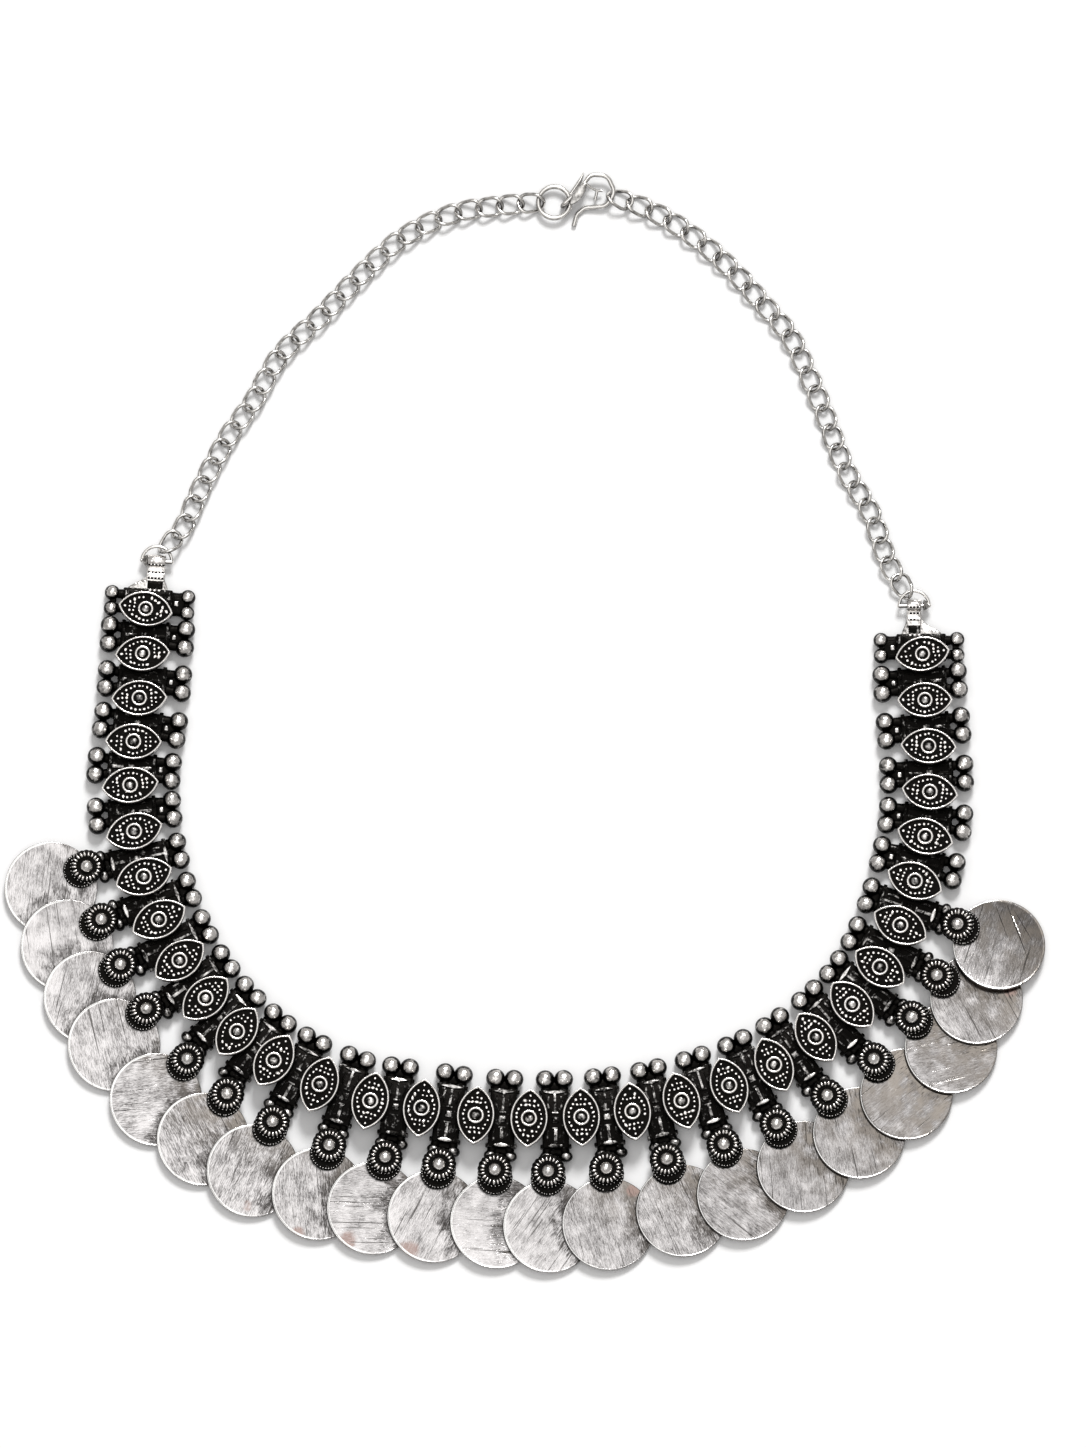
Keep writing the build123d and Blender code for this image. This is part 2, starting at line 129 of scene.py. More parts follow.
def paintCoinSilver(wire):
    tone = {"bright": (0.76, 0.735, 0.73), "dullAndShaded": (0.055, 0.05, 0.048), "brown": (0.36, 0.25, 0.22),
            "warm": (0.34, 0.305, 0.27), "rim": (0.95, 0.94, 0.92), "black": (0.02, 0.018, 0.016),
            "scratch": (0.05, 0.045, 0.04), "dent": 0.00006}
    own = wire.stored("own", "Vector")
    shade, tarnish, beside, brush, polish = (
        wire.stored(name) for name in ("shade", "tarnish", "beside", "brush", "polish"))
    cloud = own.noise(0.32, 3.0, 0.6)
    brushed = own.stretch((0.5, 4.0, 1.0)).noise(1.9, 4.0, 0.75, 0.2)
    crossed = own.stretch((0.35, 3.6, 1.0), 0.7).noise(1.7, 3.0, 0.7, 0.2)
    fine = own.stretch((0.8, 4.0, 1.0), -0.9).noise(2.4, 3.0, 0.7, 0.3)
    # lighter random patches, a painted sheen
    gloss = own.noise(0.22, 2.0, 0.5, 0.4).ease(0.52, 0.68)
    # dark scratch dashes, gathered near the next coin's edge as painted shade there
    dash = own.stretch((0.45, 3.4, 1.0), 0.15).noise(1.3, 2.0, 0.6).ease(0.55, 0.66)
    dash = dash * (beside + cloud - 0.5).ease(0.25, 0.8)
    longCut = own.stretch((0.04, 2.2, 1.0), -0.4).noise(1.5, 1.0, 0.5, 0.3).ease(0.69, 0.73)
    pit = own.stretch((1.0, 2.4, 1.0), 0.5).noise(2.3, 2.0, 0.6).ease(0.60, 0.68) * cloud.ease(0.38, 0.58)
    # painted shadow of the next coin, darkest near its edge, broken up by noise
    paintedOverlapShadow = (beside * 1.1 + (cloud - 0.5) * 1.8 + (fine - 0.5)).ease(0.45, 1.15)
    scratched = (brushed - 0.5) * 2.3 + (crossed - 0.5) * 2.0 + (fine - 0.5) * 2.0
    # each coin's tone, its painted shading gradient, the painted overlap shadow, scratches and pits darken
    # the silver; the painted sheen lightens it
    dulledAndShaded = (shade + (cloud - 0.5) * 1.2 + scratched * brush + paintedOverlapShadow * 0.5 + pit * 0.55
              - gloss * 0.3).ease(-0.40, 1.25)
    silver = dulledAndShaded.blend(tone["bright"], tone["dullAndShaded"])
    warmed = (shade.ease(0.35, 0.85) * cloud.ease(0.3, 0.62)).blend(silver, tone["warm"])
    stain = (tarnish + (cloud - 0.5) * 1.2 * tarnish).ease(0.40, 0.75) * (brushed + 0.25)
    stained = stain.blend(warmed, tone["brown"])
    cut = (dash * 0.8 + longCut * 0.7).ease(0.0, 1.0).blend(stained, tone["scratch"])
    # the rim's light line, partly polish and partly a painted highlight
    rimmed = polish.ease(1.1, 1.5).blend(cut, tone["rim"])
    # the coin's edge wall painted black, a painted shade along its outline
    edged = polish.ease(0.8, 0.1).blend(rimmed, tone["black"])
    height = brushed * 0.6 + crossed * 0.4 + cloud * 2.0 - longCut * 0.8 - dash * 0.4
    return {"Base Color": edged, "Metallic": 1.0, "Roughness": (0.12 + brushed * 0.2) * (1.2 - shade * 0.9),
            "Normal": (height * (1.15 - shade * 1.3)).bump(0.6, tone["dent"])}


def paintBrightSilver(wire):
    tone = {"wire": (0.80, 0.78, 0.75), "grimeAndShade": (0.06, 0.055, 0.05), "blotch": 900.0, "grit": 4200.0,
            "dent": 0.00003}
    here = wire.place()
    blotch, grit = here.noise(tone["blotch"], 3.0, 0.6), here.noise(tone["grit"])
    # the grime colour also serves as painted shade on the wires' sides, and the wire colour as a painted
    # highlight on their tops
    cleanAndLit = (wire.stored("polish") + (blotch - 0.5) * 1.3).ease(0.20, 0.90)
    return {"Base Color": cleanAndLit.blend(tone["grimeAndShade"], tone["wire"]), "Metallic": 1.0,
            "Roughness": 0.16 + grit * 0.16, "Normal": (blotch * 0.6 + grit * 0.4).bump(0.4, tone["dent"])}


def paintThread(wire):
    tone = {"pitch": (0.006, 0.006, 0.006), "wax": (0.030, 0.028, 0.026), "ply": 5200.0, "dent": 0.00008}
    ply = wire.place().stretch((1.0, 1.0, 2.0), 0.7).noise(tone["ply"])
    return {"Base Color": ply.ease(0.3, 0.7).blend(tone["pitch"], tone["wax"]),
            "Roughness": 0.55 + ply * 0.2, "Normal": ply.bump(0.8, tone["dent"])}


darkSilver = newFinish("darkSilver", paintDarkSilver)
coinSilver = newFinish("coinSilver", paintCoinSilver)
brightSilver = newFinish("brightSilver", paintBrightSilver)
waxedThread = newFinish("waxedThread", paintThread)
print("finishes ready")


def newObject(name, data):
    made = bpy.data.objects.new(name, data)
    bpy.context.scene.collection.objects.link(made)
    return made


# Gathers one piece's vertices and faces in millimetres, with how polished each vertex is; the same value
# also carries painted highlights and painted shade
class Casting:
    def __init__(self):
        self.points, self.faces, self.polish, self.own, self.kinds, self.kind = [], [], [], [], [], 0

    def add(self, points, faces, polish, at=None):
        base = len(self.points)
        self.points += [at @ p if at else p for p in points]
        self.own += [Vector(p) for p in points]
        self.polish += polish
        self.faces += [tuple(base + k for k in face) for face in faces]
        self.kinds += [self.kind] * len(faces)

    # Skin over loops that run anticlockwise seen from the last one
    def loft(self, loops, polish, at=None, joined=False, capped=True):
        size = len(loops[0])
        points = [p for loop in loops for p in loop]
        shine = [v for s in polish for v in (s if isinstance(s, list) else [s] * size)]
        faces = []
        for k in range(len(loops) if joined else len(loops) - 1):
            low, high = k * size, (k + 1) % len(loops) * size
            for j in range(size):
                faces.append((low + j, low + (j + 1) % size, high + (j + 1) % size, high + j))
        if capped and not joined:
            for start, forward in ((0, False), ((len(loops) - 1) * size, True)):
                middle = sum((points[start + j] for j in range(size)), Vector()) / size
                points.append(middle)
                shine.append(shine[start])
                hub = len(points) - 1
                for j in range(size):
                    a, b = start + j, start + (j + 1) % size
                    faces.append((hub, a, b) if forward else (hub, b, a))
        self.add(points, faces, shine, at)

    def absorb(self, mesh):  # takes in a mesh that Geometry Nodes made, in millimetres
        shine = [vertex.value for vertex in mesh.attributes["polish"].data]
        self.add([vertex.co.copy() for vertex in mesh.vertices],
                 [tuple(face.vertices) for face in mesh.polygons], shine)

    def mesh(self, name, scale=1.0):
        made = bpy.data.meshes.new(name)
        made.from_pydata([tuple(p * scale) for p in self.points], [], self.faces)
        made.attributes.new("polish", "FLOAT", "POINT").data.foreach_set("value", self.polish)
        made.attributes.new("own", "FLOAT_VECTOR", "POINT").data.foreach_set(
            "vector", [c for p in self.own for c in p])
        made.polygons.foreach_set("material_index", self.kinds)
        made.shade_smooth()
        made.set_sharp_from_angle(angle=radians(48))
        return made

    def piece(self, name, finish, slot, *nodes):
        made = newObject(name, self.mesh(name, 0.001))
        for coat in finish if isinstance(finish, tuple) else (finish,):
            made.data.materials.append(coat)
        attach(made, "root")
        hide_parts(*nodes)
        print(name, "triangles", sum(len(face.vertices) - 2 for face in made.data.polygons))
        return made


def circle(count):
    return [2 * pi * k / count for k in range(count)]


def ringOf(radius, z, count, wave=0.0, waves=0):
    loop = []
    for angle in circle(count):
        r = radius + wave * abs(sin(waves * angle / 2))
        loop.append(Vector((r * cos(angle), r * sin(angle), z)))
    return loop


# Turned shape from rows of radius, height and polish value, which also carries painted light
def turned(cast, rows, count, at=None, capped=True, **shape):
    cast.loft([ringOf(r, z, count, **shape) for r, z, _ in rows], [p for _, _, p in rows], at, capped=capped)


def turnedUnit(rows, count):
    cast = Casting()
    turned(cast, rows, count)
    return cast


# Rows of a ball that starts at a share of its half turn; its underside gets the darker value
def ballRows(radius, middle, count, low=0.02, polish=1.0, under=0.3):
    rows = []
    for k in range(count + 1):
        angle = pi * (low + (1 - low - 0.02) * k / count)
        height = -cos(angle)
        rows.append((radius * sin(angle), middle + radius * height, polish if height > -0.1 else under))
    return rows


# Flat raised shape from an outline, with a worn top and dark sides
def raised(cast, outline, bottom, top, edge=0.07, polish=1.0, side=0.25, at=None):
    centre = sum((Vector(p) for p in outline), Vector((0, 0))) / len(outline)
    reach = max((Vector(p) - centre).length for p in outline)
    loops = []
    for inset, z in ((0.0, bottom), (0.0, top - edge), (0.35 * edge, top - 0.3 * edge), (edge, top)):
        share = max(0.2, 1 - inset / max(reach * 0.5, 0.2))
        loops.append([Vector((centre.x + (x - centre.x) * share, centre.y + (y - centre.y) * share, z))
                      for x, y in outline])
    cast.loft(loops, [0.0, side, polish, polish], at)


# Round-cornered block
def slab(cast, box, edge, polish, at=None, top=0.0):
    x0, x1, y0, y1, z0, z1 = box
    loops, shine = [], []
    for inset, z, p in ((edge, z0, polish), (0, z0 + edge, polish), (0, z1 - edge, polish),
                        (0.3 * edge, z1 - 0.3 * edge, polish + 0.2), (edge, z1, top or polish)):
        loop = []
        for cx, cy, start in ((x1, y1, 0), (x0, y1, 90), (x0, y0, 180), (x1, y0, 270)):
            sx, sy = (1 if cx == x1 else -1), (1 if cy == y1 else -1)
            for k in range(4):
                angle = radians(start + 30 * k)
                loop.append(Vector((cx - sx * (edge + inset) + edge * cos(angle),
                                    cy - sy * (edge + inset) + edge * sin(angle), z)))
        loops.append(loop)
        shine.append(p)
    cast.loft(loops, shine, at)


# Tube along a path; each radius is one number or a width and a height, and the crown is how much
# lighter its upper side is painted: a painted highlight on top, painted shade on the sides and underside
def tube(cast, path, radii, sides, polish, at=None, joined=False, level=Vector((0, 0, 1)), crownLight=0.0):
    count = len(path)
    radii = radii if isinstance(radii, list) else [radii] * count
    loops, shine, across = [], [], None
    for k, place in enumerate(path):
        after = path[(k + 1) % count] if joined or k + 1 < count else place
        before = path[k - 1] if joined or k > 0 else place
        along = (after - before).normalized()
        flat = along.cross(level).normalized()
        if across is None or isinstance(radii[k], tuple):
            across = flat if across is None or flat.dot(across) > 0 else -flat
        across = (across - along * across.dot(along)).normalized()
        rise = across.cross(along)
        wide, tall = radii[k] if isinstance(radii[k], tuple) else (radii[k], radii[k])
        loop, wornAndLit = [], []
        for j in reversed(range(sides)):
            angle = 2 * pi * j / sides
            loop.append(place - across * (wide * cos(angle)) + rise * (tall * sin(angle)))
            # painted highlight on the upper side, painted shade on the sides and underside
            wornAndLit.append(polish + crownLight * ((rise * sin(angle) - across * cos(angle)).z - 0.5))
        loops.append(loop)
        shine.append(wornAndLit)
    cast.loft(loops, shine, at, joined)


def arcThrough(first, middle, last, count):
    a, b = middle - first, last - first
    normal = a.cross(b)
    centre = first + (normal.cross(a) * b.length_squared + b.cross(normal) * a.length_squared) / (
        2 * normal.length_squared)
    spoke = first - centre
    turn = spoke.angle(last - centre)
    if (middle - centre).angle(spoke) > turn:
        turn = 2 * pi - turn
    axis = normal.normalized()
    return [centre + Matrix.Rotation(turn * k / count, 3, axis) @ spoke for k in range(count + 1)]


# Straight runs joined by arcs of the given radii
def bentWire(points, radii, steps):
    path = [points[0]]
    for before, corner, after, radius in zip(points, points[1:], points[2:], radii):
        arriving, leaving = (corner - before).normalized(), (after - corner).normalized()
        turn = arriving.angle(leaving)
        cut = radius * tan(turn / 2)
        start, end = corner - arriving * cut, corner + leaving * cut
        centre = corner + (start + end - corner * 2).normalized() * (radius / cos(turn / 2))
        halfway = centre + (corner - centre).normalized() * radius
        path += arcThrough(start, halfway, end, steps)
    return path + [points[-1]]


# Geometry Nodes tree that sets one casting on every point of a mesh
def settingTree():
    tree = bpy.data.node_groups.new("setOnPoints", "GeometryNodeTree")
    for name, kind in (("Points", "Geometry"), ("Casting", "Object"), ("Scatter", "Float"), ("Seed", "Int"),
                       ("Finish", "Material")):
        tree.interface.new_socket(name, in_out="INPUT", socket_type="NodeSocket" + kind)
    tree.interface.new_socket("Mesh", in_out="OUTPUT", socket_type="NodeSocketGeometry")
    names = {item.name: item.identifier for item in tree.interface.items_tree if item.in_out == "INPUT"}
    wire = Wire(tree)
    given = {name: wire.node("NodeGroupInput", output=name) for name in names}
    turn, size = (wire.node("GeometryNodeInputNamedAttribute", {"data_type": "FLOAT_VECTOR"}, {"Name": name})
                  for name in ("turn", "size"))
    chance = wire.node("FunctionNodeRandomValue", {"data_type": "FLOAT_VECTOR"},
                       {"Min": (-1, -1, -1), "Max": (1, 1, 1), "Seed": given["Seed"]})
    spread = wire.node("ShaderNodeVectorMath", {"operation": "SCALE"},
                       {0: chance, "Scale": given["Scatter"]})
    scale = wire.node("ShaderNodeVectorMath", {"operation": "MULTIPLY_ADD"}, {0: size, 1: spread, 2: size})
    spun = wire.node("FunctionNodeEulerToRotation", {}, {"Euler": turn})
    unit = wire.node("GeometryNodeObjectInfo", {}, {"Object": given["Casting"]}, "Geometry")
    placed = wire.node("GeometryNodeInstanceOnPoints", {},
                       {"Points": given["Points"], "Instance": unit, "Rotation": spun, "Scale": scale})
    solid = wire.node("GeometryNodeRealizeInstances", {}, {"Geometry": placed})
    coated = wire.node("GeometryNodeSetMaterial", {}, {"Geometry": solid, "Material": given["Finish"]})
    tree.links.new(coated.socket, tree.nodes.new("NodeGroupOutput").inputs["Mesh"])
    return tree, names


setOnPoints, entryIds = settingTree()


# One casting repeated at every frame of a list, as a plain mesh added to a piece
def repeat(cast, unit, frames, finish=darkSilver, scatter=0.0, seed=1):
    if not frames:
        return
    model = newObject("unit", unit.mesh("unit"))
    cloud = bpy.data.meshes.new("places")
    cloud.from_pydata([tuple(at.translation) for at in frames], [], [])
    kept = {"turn": [at.to_euler() for at in frames], "size": [at.to_scale() for at in frames]}
    for name, rows in kept.items():
        stored = cloud.attributes.new(name, "FLOAT_VECTOR", "POINT")
        stored.data.foreach_set("vector", [v for row in rows for v in row])
    holder = newObject("places", cloud)
    setter = holder.modifiers.new("set", "NODES")
    setter.node_group = setOnPoints
    for name, value in (("Casting", model), ("Scatter", scatter), ("Seed", seed), ("Finish", finish)):
        setter[entryIds[name]] = value
    graph = bpy.context.evaluated_depsgraph_get()
    cast.absorb(bpy.data.meshes.new_from_object(holder.evaluated_get(graph)))
    holder.modifiers.remove(setter)
    for thing in (model, holder):
        bpy.data.objects.remove(thing)


# Smooth curve through rows of a parameter and a point
def smooth(rows, at):
    keys = [row[0] for row in rows]
    points = [row[1:] for row in rows]
    slopes = []
    for i in range(len(rows)):
        before, after = max(i - 1, 0), min(i + 1, len(rows) - 1)
        near, far = keys[i] - keys[before], keys[after] - keys[i]
        slope = []
        for low, here, high in zip(points[before], points[i], points[after]):
            ahead = (high - here) / far if far else 0.0
            behind = (here - low) / near if near else 0.0
            slope.append((behind * far + ahead * near) / (near + far) if near and far else ahead + behind)
        slopes.append(slope)
    i = max(k for k in range(len(rows) - 1) if k == 0 or keys[k] <= at)
    span = keys[i + 1] - keys[i]
    u = (at - keys[i]) / span
    weights = (2 * u**3 - 3 * u**2 + 1, (u**3 - 2 * u**2 + u) * span,
               3 * u**2 - 2 * u**3, (u**3 - u**2) * span)
    rates = ((6 * u**2 - 6 * u) / span, 3 * u**2 - 4 * u + 1, (6 * u - 6 * u**2) / span, 3 * u**2 - 2 * u)
    parts = list(zip(points[i], slopes[i], points[i + 1], slopes[i + 1]))
    place = [sum(w * p for w, p in zip(weights, part)) for part in parts]
    travel = [sum(r * p for r, p in zip(rates, part)) for part in parts]
    return place, travel


band = {
    "route": [
        (1, -68.5, 19.7), (3, -69.6, 3.5), (5, -71.2, -12.3), (7, -68.7, -28.9),
        (11, -51.9, -56.9), (12, -45.3, -62.1), (14, -28.0, -69.4), (15, -18.8, -70.7),
        (16, -9.1, -72.0), (20, 27.8, -69.4), (22, 44.4, -62.9), (24, 58.4, -52.0),
        (28, 71.6, -21.6), (32, 71.2, 11.5)],
    "tiles": 32, "coins": 21, "settle": 0.5, "endSetback": 1.62, "firstCoinBar": 6,
    "ringMiddle": (5.0, 94.4, 1.42)}

ringLow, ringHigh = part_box("clasp_ring")
shift = (ringLow + ringHigh) * 500 - Vector(band["ringMiddle"])  # from the routes' numbers to the frame
shift.z = 0.0


def bandFrame(station, along=0.0, settle=0.0):
    (x, y), (dx, dy) = smooth(band["route"], station)
    size = hypot(dx, dy)
    dx, dy = dx / size, dy / size
    spot = Vector((x + dx * along, y + dy * along - settle * abs(dy), 0)) + shift
    return Matrix.Translation(spot) @ Matrix.Rotation(atan2(-dx, dy), 4, "Z")


# Frames that turn by an angle, stretch, and stand at a place in millimetres
def turning(angle, axis="Z"):
    return Matrix.Rotation(radians(angle), 4, axis)


def sized(x, y, z=1.0):
    return Matrix.Diagonal((x, y, z, 1))


def spot(x, y, z, turn=0.0):
    return Matrix.Translation((x, y, z)) @ turning(turn)


# Eye tiles
eye = {"length": 10.6, "width": 6.7, "low": 3.15, "top": 5.3, "field": 4.78, "endShare": 0.93, "taper": 6,
       "lean": 6.0, "leanScatter": 2.0, "firstLean": -6.0, "lastLean": 8.0, "arcSteps": 20,
       "dotRadius": 0.31, "foot": (-3.4, 3.4, -0.55, 0.55)}


def eyeLeans():
    chance = random.Random(5)
    leans = []
    for tile in range(1, band["tiles"] + 1):
        share = 1 - 2 * (tile - 1) / (band["tiles"] - 1)
        leans.append(eye["lean"] * share + chance.uniform(-eye["leanScatter"], eye["leanScatter"]))
    leans[0], leans[-1] = eye["firstLean"], eye["lastLean"]
    return leans


def eyeShare(tile):
    fromEnd = min(tile - 1, band["tiles"] - tile)
    return 1 - (1 - eye["endShare"]) * max(0.0, 1 - fromEnd / eye["taper"])


def lensLoop(inset, z):
    radius = (eye["length"] ** 2 / 4 + eye["width"] ** 2 / 4) / eye["width"]
    offset = radius - eye["width"] / 2
    radius -= inset
    half = acos(offset / radius)
    steps = eye["arcSteps"]
    angles = [half - 2 * half * k / steps for k in range(steps)]
    upper = [Vector((radius * sin(a), radius * cos(a) - offset, z)) for a in angles]
    return upper + [Vector((-p.x, -p.y, z)) for p in upper]


def eyeUnit():
    cast = Casting()
    rows = [(0.30, eye["low"], 0.1), (0.04, eye["low"] + 0.12, 0.45), (0.0, 3.6, 0.62), (0.0, 4.95, 0.70),
            (0.01, 5.18, 1.0), (0.06, 5.27, 1.35), (0.15, eye["top"], 1.35), (0.26, 5.28, 1.35),
            (0.33, 5.20, 1.1), (0.37, 5.02, 0.0)]
    rows += [(inset, eye["field"], -0.3) for inset in (0.42, 1.2, 2.2)]
    cast.loft([lensLoop(inset, z) for inset, z, _ in rows], [p for _, _, p in rows])
    ring = [(1.50, 4.70, 0.0), (1.52, 5.08, 0.8), (1.46, 5.23, 1.6), (1.37, 5.29, 1.6), (1.22, 5.29, 1.6),
            (1.11, 5.23, 1.6), (1.05, 5.08, 0.8), (1.06, 4.70, 0.0)]
    turned(cast, ring, 28, capped=False)
    turned(cast, [(0.74, 4.70, 0.0), (0.74, 4.92, 0.2), (0.68, 5.08, 0.5), (0.5, 5.17, 0.55),
                  (0.2, 5.21, 0.6)], 16)
    return cast


# Frame of a tile's head, turned by its lean, and the share it shrinks to near the band's ends
def tileHead(at, tile):
    return at @ turning(leans[tile - 1]), eyeShare(tile)


def dotSpots():
    spots = []
    for x, y in ((0.0, 2.28), (0.8, 2.17), (1.58, 1.88), (2.32, 1.5), (3.12, 0.85), (2.3, 0.72)):
        spots += [(sx * x, sy * y) for sx in ((-1, 1) if x else (1,)) for sy in (-1, 1)]
    for x in (2.28, 3.15, 4.08):
        spots += [(-x, 0.0), (x, 0.0)]
    return spots


def dotFrames(at, share, chance):
    frames = []
    for x, y in dotSpots():
        size = eye["dotRadius"] * chance.uniform(0.72, 1.08)
        smear = chance.choice([1.0, 1.0, 1.0, 1.15, 1.5])
        if chance.random() < 0.04:
            continue
        x, y = (x + chance.uniform(-0.09, 0.09)) * share, (y + chance.uniform(-0.08, 0.08)) * share
        frames.append(at @ spot(x, y, eye["field"] + 0.12, chance.uniform(0, 180))
                      @ sized(size * smear, size, 0.30))
    return frames


leans = eyeLeans()
eyeModel = eyeUnit()
dotModel = turnedUnit([(1.0, -0.6, 0.6), (0.95, 0.3, 1.6), (0.6, 0.85, 1.6)], 8)
chance = random.Random(11)
eyes = Casting()
tileFrames, dots = [], []
for tile in range(2, band["tiles"]):
    head, share = tileHead(bandFrame(tile), tile)
    tileFrames.append(head @ sized(share, share))
    dots += dotFrames(head, share, chance)
    slab(eyes, (*eye["foot"], 0.0, eye["low"] + 0.1), 0.12, 0.15, bandFrame(tile))
repeat(eyes, eyeModel, tileFrames)
repeat(eyes, dotModel, dots, scatter=0.12, seed=3)
eyes.piece("eyeTiles", darkSilver, "dark_silver", "eye_tiles")


# Cross bars with their balls; each pair of ends is how far a bar reaches in and out, plain and with a coin
bar = {"ends": ((4.6, 4.3), (5.5, 5.2)), "width": 4.8, "height": 2.6, "shoulderLength": 0.7,
       "shoulderWidth": 5.6, "shoulderDrop": 0.45, "relief": 0.32, "ballRadius": 1.72, "innerReach": 7.35,
       "outerReach": 6.3, "ballSpacing": 3.3, "endBallRadius": 1.38, "endSpacing": 2.84, "armRadius": 0.72,
       "hangerBall": 1.25, "hangerReach": 6.6, "hangerLane": 1.75, "hangerHeight": 1.57, "pinRadius": 0.3,
       "pinReach": 7.0}


# Ball of radius one with a painted highlight on top and painted shade on its sides and underside, and
# painted black shade where it faces its twin along X and its arm along Y
def ballUnit(top, side, low, hand):
    cast = turnedUnit(ballRows(1.0, 0.0, 16), 24)
    for k, p in enumerate(cast.points):
        # lighter on top and darker lower down: painted highlight and painted shade
        shine = top if p.z > 0.8 else side if p.z > 0.6 else low
        cast.polish[k] = shine - 2.0 * max(0.0, p.x - 0.45, hand * p.y - 0.5)
    return cast


def barCasting(cast, at, hasCoin, chance, shoulders=True):
    inner, outer = bar["ends"][hasCoin]
    half, top = bar["width"] / 2, bar["height"]
    slab(cast, (-inner, outer, -half, half, 0.0, top), 0.24, 0.12, at)
    if shoulders:
        wide = bar["shoulderWidth"] / 2
        for x0, x1 in ((-inner + 0.12, -inner + 0.12 + bar["shoulderLength"]),
                       (outer - 0.12 - bar["shoulderLength"], outer - 0.12)):
            slab(cast, (x0, x1, -wide, wide, 0.0, top - bar["shoulderDrop"]), 0.16, 0.2, at)
    sunk, peak = top - 0.1, top + bar["relief"]

    def strip(x0, x1, lane, half, polish=1.0, bow=0.0):
        wob, middle, y0, y1 = chance.uniform(-0.05, 0.05), (x0 + x1) / 2, lane - half, lane + half
        corners = [(x0, y0 + wob), (middle, y0 + bow), (x1, y0 - wob), (x1, y1 - wob), (middle, y1 + bow),
                   (x0, y1 + wob)]
        raised(cast, corners, sunk, peak, polish=0.43 * polish + chance.uniform(-0.15, 0.15), at=at)

    def leaf(x0, upper, x1):
        outline = [*((x, -y) for x, y in upper), (x1, 0.0), *upper[::-1], (x0, 0.0)]
        raised(cast, outline, sunk, peak, at=at, polish=chance.uniform(0.4, 0.85))

    if hasCoin:
        wide = chance.uniform(1.5, 2.3)
        leaf(-5.25, [(-5.1, 0.6 * wide), (-4.95, wide), (-4.8, 0.6 * wide)], -4.62)
        strip(-4.7, -1.2, 0.0, 0.19)
        strip(-1.35, -1.05, 0.0, 0.62)
        for side in (-1, 1):
            strip(-4.2, -2.0, side * 1.15, 0.15, 0.75, side * 0.18)
            strip(-1.0, 1.2, side * 1.75, 0.12, 0.35)
            strip(1.9, 4.2, side * 1.35, 0.13, 0.6, side * 0.15)
        slab(cast, (-0.55, 0.62, -0.62, 0.62, sunk, peak + 0.02), 0.14, 0.3, at, chance.uniform(0.1, 0.6))
        strip(1.42, 1.66, 0.0, 0.66)
        strip(1.66, 4.35, 0.0, 0.27)
        leaf(4.35, [(4.5, 1.0), (4.75, 1.35), (5.0, 0.8)], 5.08)
    else:
        for side, end in ((-1, inner), (1, outer)):
            x0, x1 = sorted((side * (end - 0.75), side * (end - 0.35)))
            strip(x0, x1, -1.2, 0.7, 0.7)
            strip(x0, x1, 1.2, 0.7, 0.7)
            x0, x1 = sorted((side * 1.3, side * (end - 0.9)))
            strip(x0, x1, 0.0, 0.3, 0.75)
            for lane in (-1, 1):
                strip(x0 + 0.3, x1 - 0.1, lane * 1.45, 0.14, 0.55, lane * 0.2)
        slab(cast, (-0.62, 0.55, -0.62, 0.62, sunk, peak + 0.02), 0.14, 0.3, at, top=0.45)


def arm(cast, at, start, end, radius):
    path = [Vector(start).lerp(Vector(end), k / 4) for k in range(5)]
    tube(cast, path, [(radius * w, radius) for w in (1.5, 1.25, 1.15, 1.3, 1.5)], 12, 0.05, at)


# A bar's balls, arms, the black webs between them and a coin's pin; gives the balls' frames by hand
def barBalls(cast, at, hasCoin, radius, spacing):
    frames = {-1: [], 1: []}
    inner, outer = bar["ends"][hasCoin]
    inward, height = -bar["innerReach"], radius + 0.02
    pair = (spacing / 2, radius, height)
    hanger = (bar["hangerLane"], bar["hangerBall"], bar["hangerHeight"])
    far = (bar["hangerReach"], *hanger) if hasCoin else (bar["outerReach"], *pair)
    for side in (-1, 1):
        for end, (reach, lane, size, z) in ((-inner, (inward, *pair)), (outer, far)):
            y = side * lane
            arm(cast, at, (end - copysign(0.3, end), y * 0.85, z), (reach, y, z), bar["armRadius"])
            slim = 0.8 if hasCoin and reach > 0 else 1.0
            frames[-side if reach > 0 else side].append(
                at @ spot(reach, y, z, -side * 90) @ sized(size, size * slim, size))
    # black block between the pair of balls, a dark stand-in for the shade between them
    slab(cast, (inward - 0.4, inward + 1.15, -1.1, 1.1, 0.5, 1.85), 0.2, 0.0, at)
    wide = 2.5 if hasCoin else spacing / 2 + 0.5
    slab(cast, (inward + 0.4, -inner + 0.2, -wide, wide, 0.35, 2.1), 0.3, 0.0, at)
    if hasCoin:
        slab(cast, (outer - 0.2, bar["hangerReach"] - 0.1, -2.4, 2.4, 0.5, 1.95), 0.4, 0.05, at)
        pin = [(bar["pinReach"], side * bar["hangerLane"], bar["hangerHeight"]) for side in (-1, 1)]
        arm(cast, at, *pin, bar["pinRadius"])
    else:
        slab(cast, (-inner - 1.15, -inner - 0.35, -0.55, 0.45, 2.0, 2.32), 0.16, 0.3, at, top=0.75)
        slab(cast, (bar["outerReach"] - 0.8, bar["outerReach"] + 0.4, -1.1, 1.1, 0.5, 1.85), 0.2, 0.0, at)
    return frames


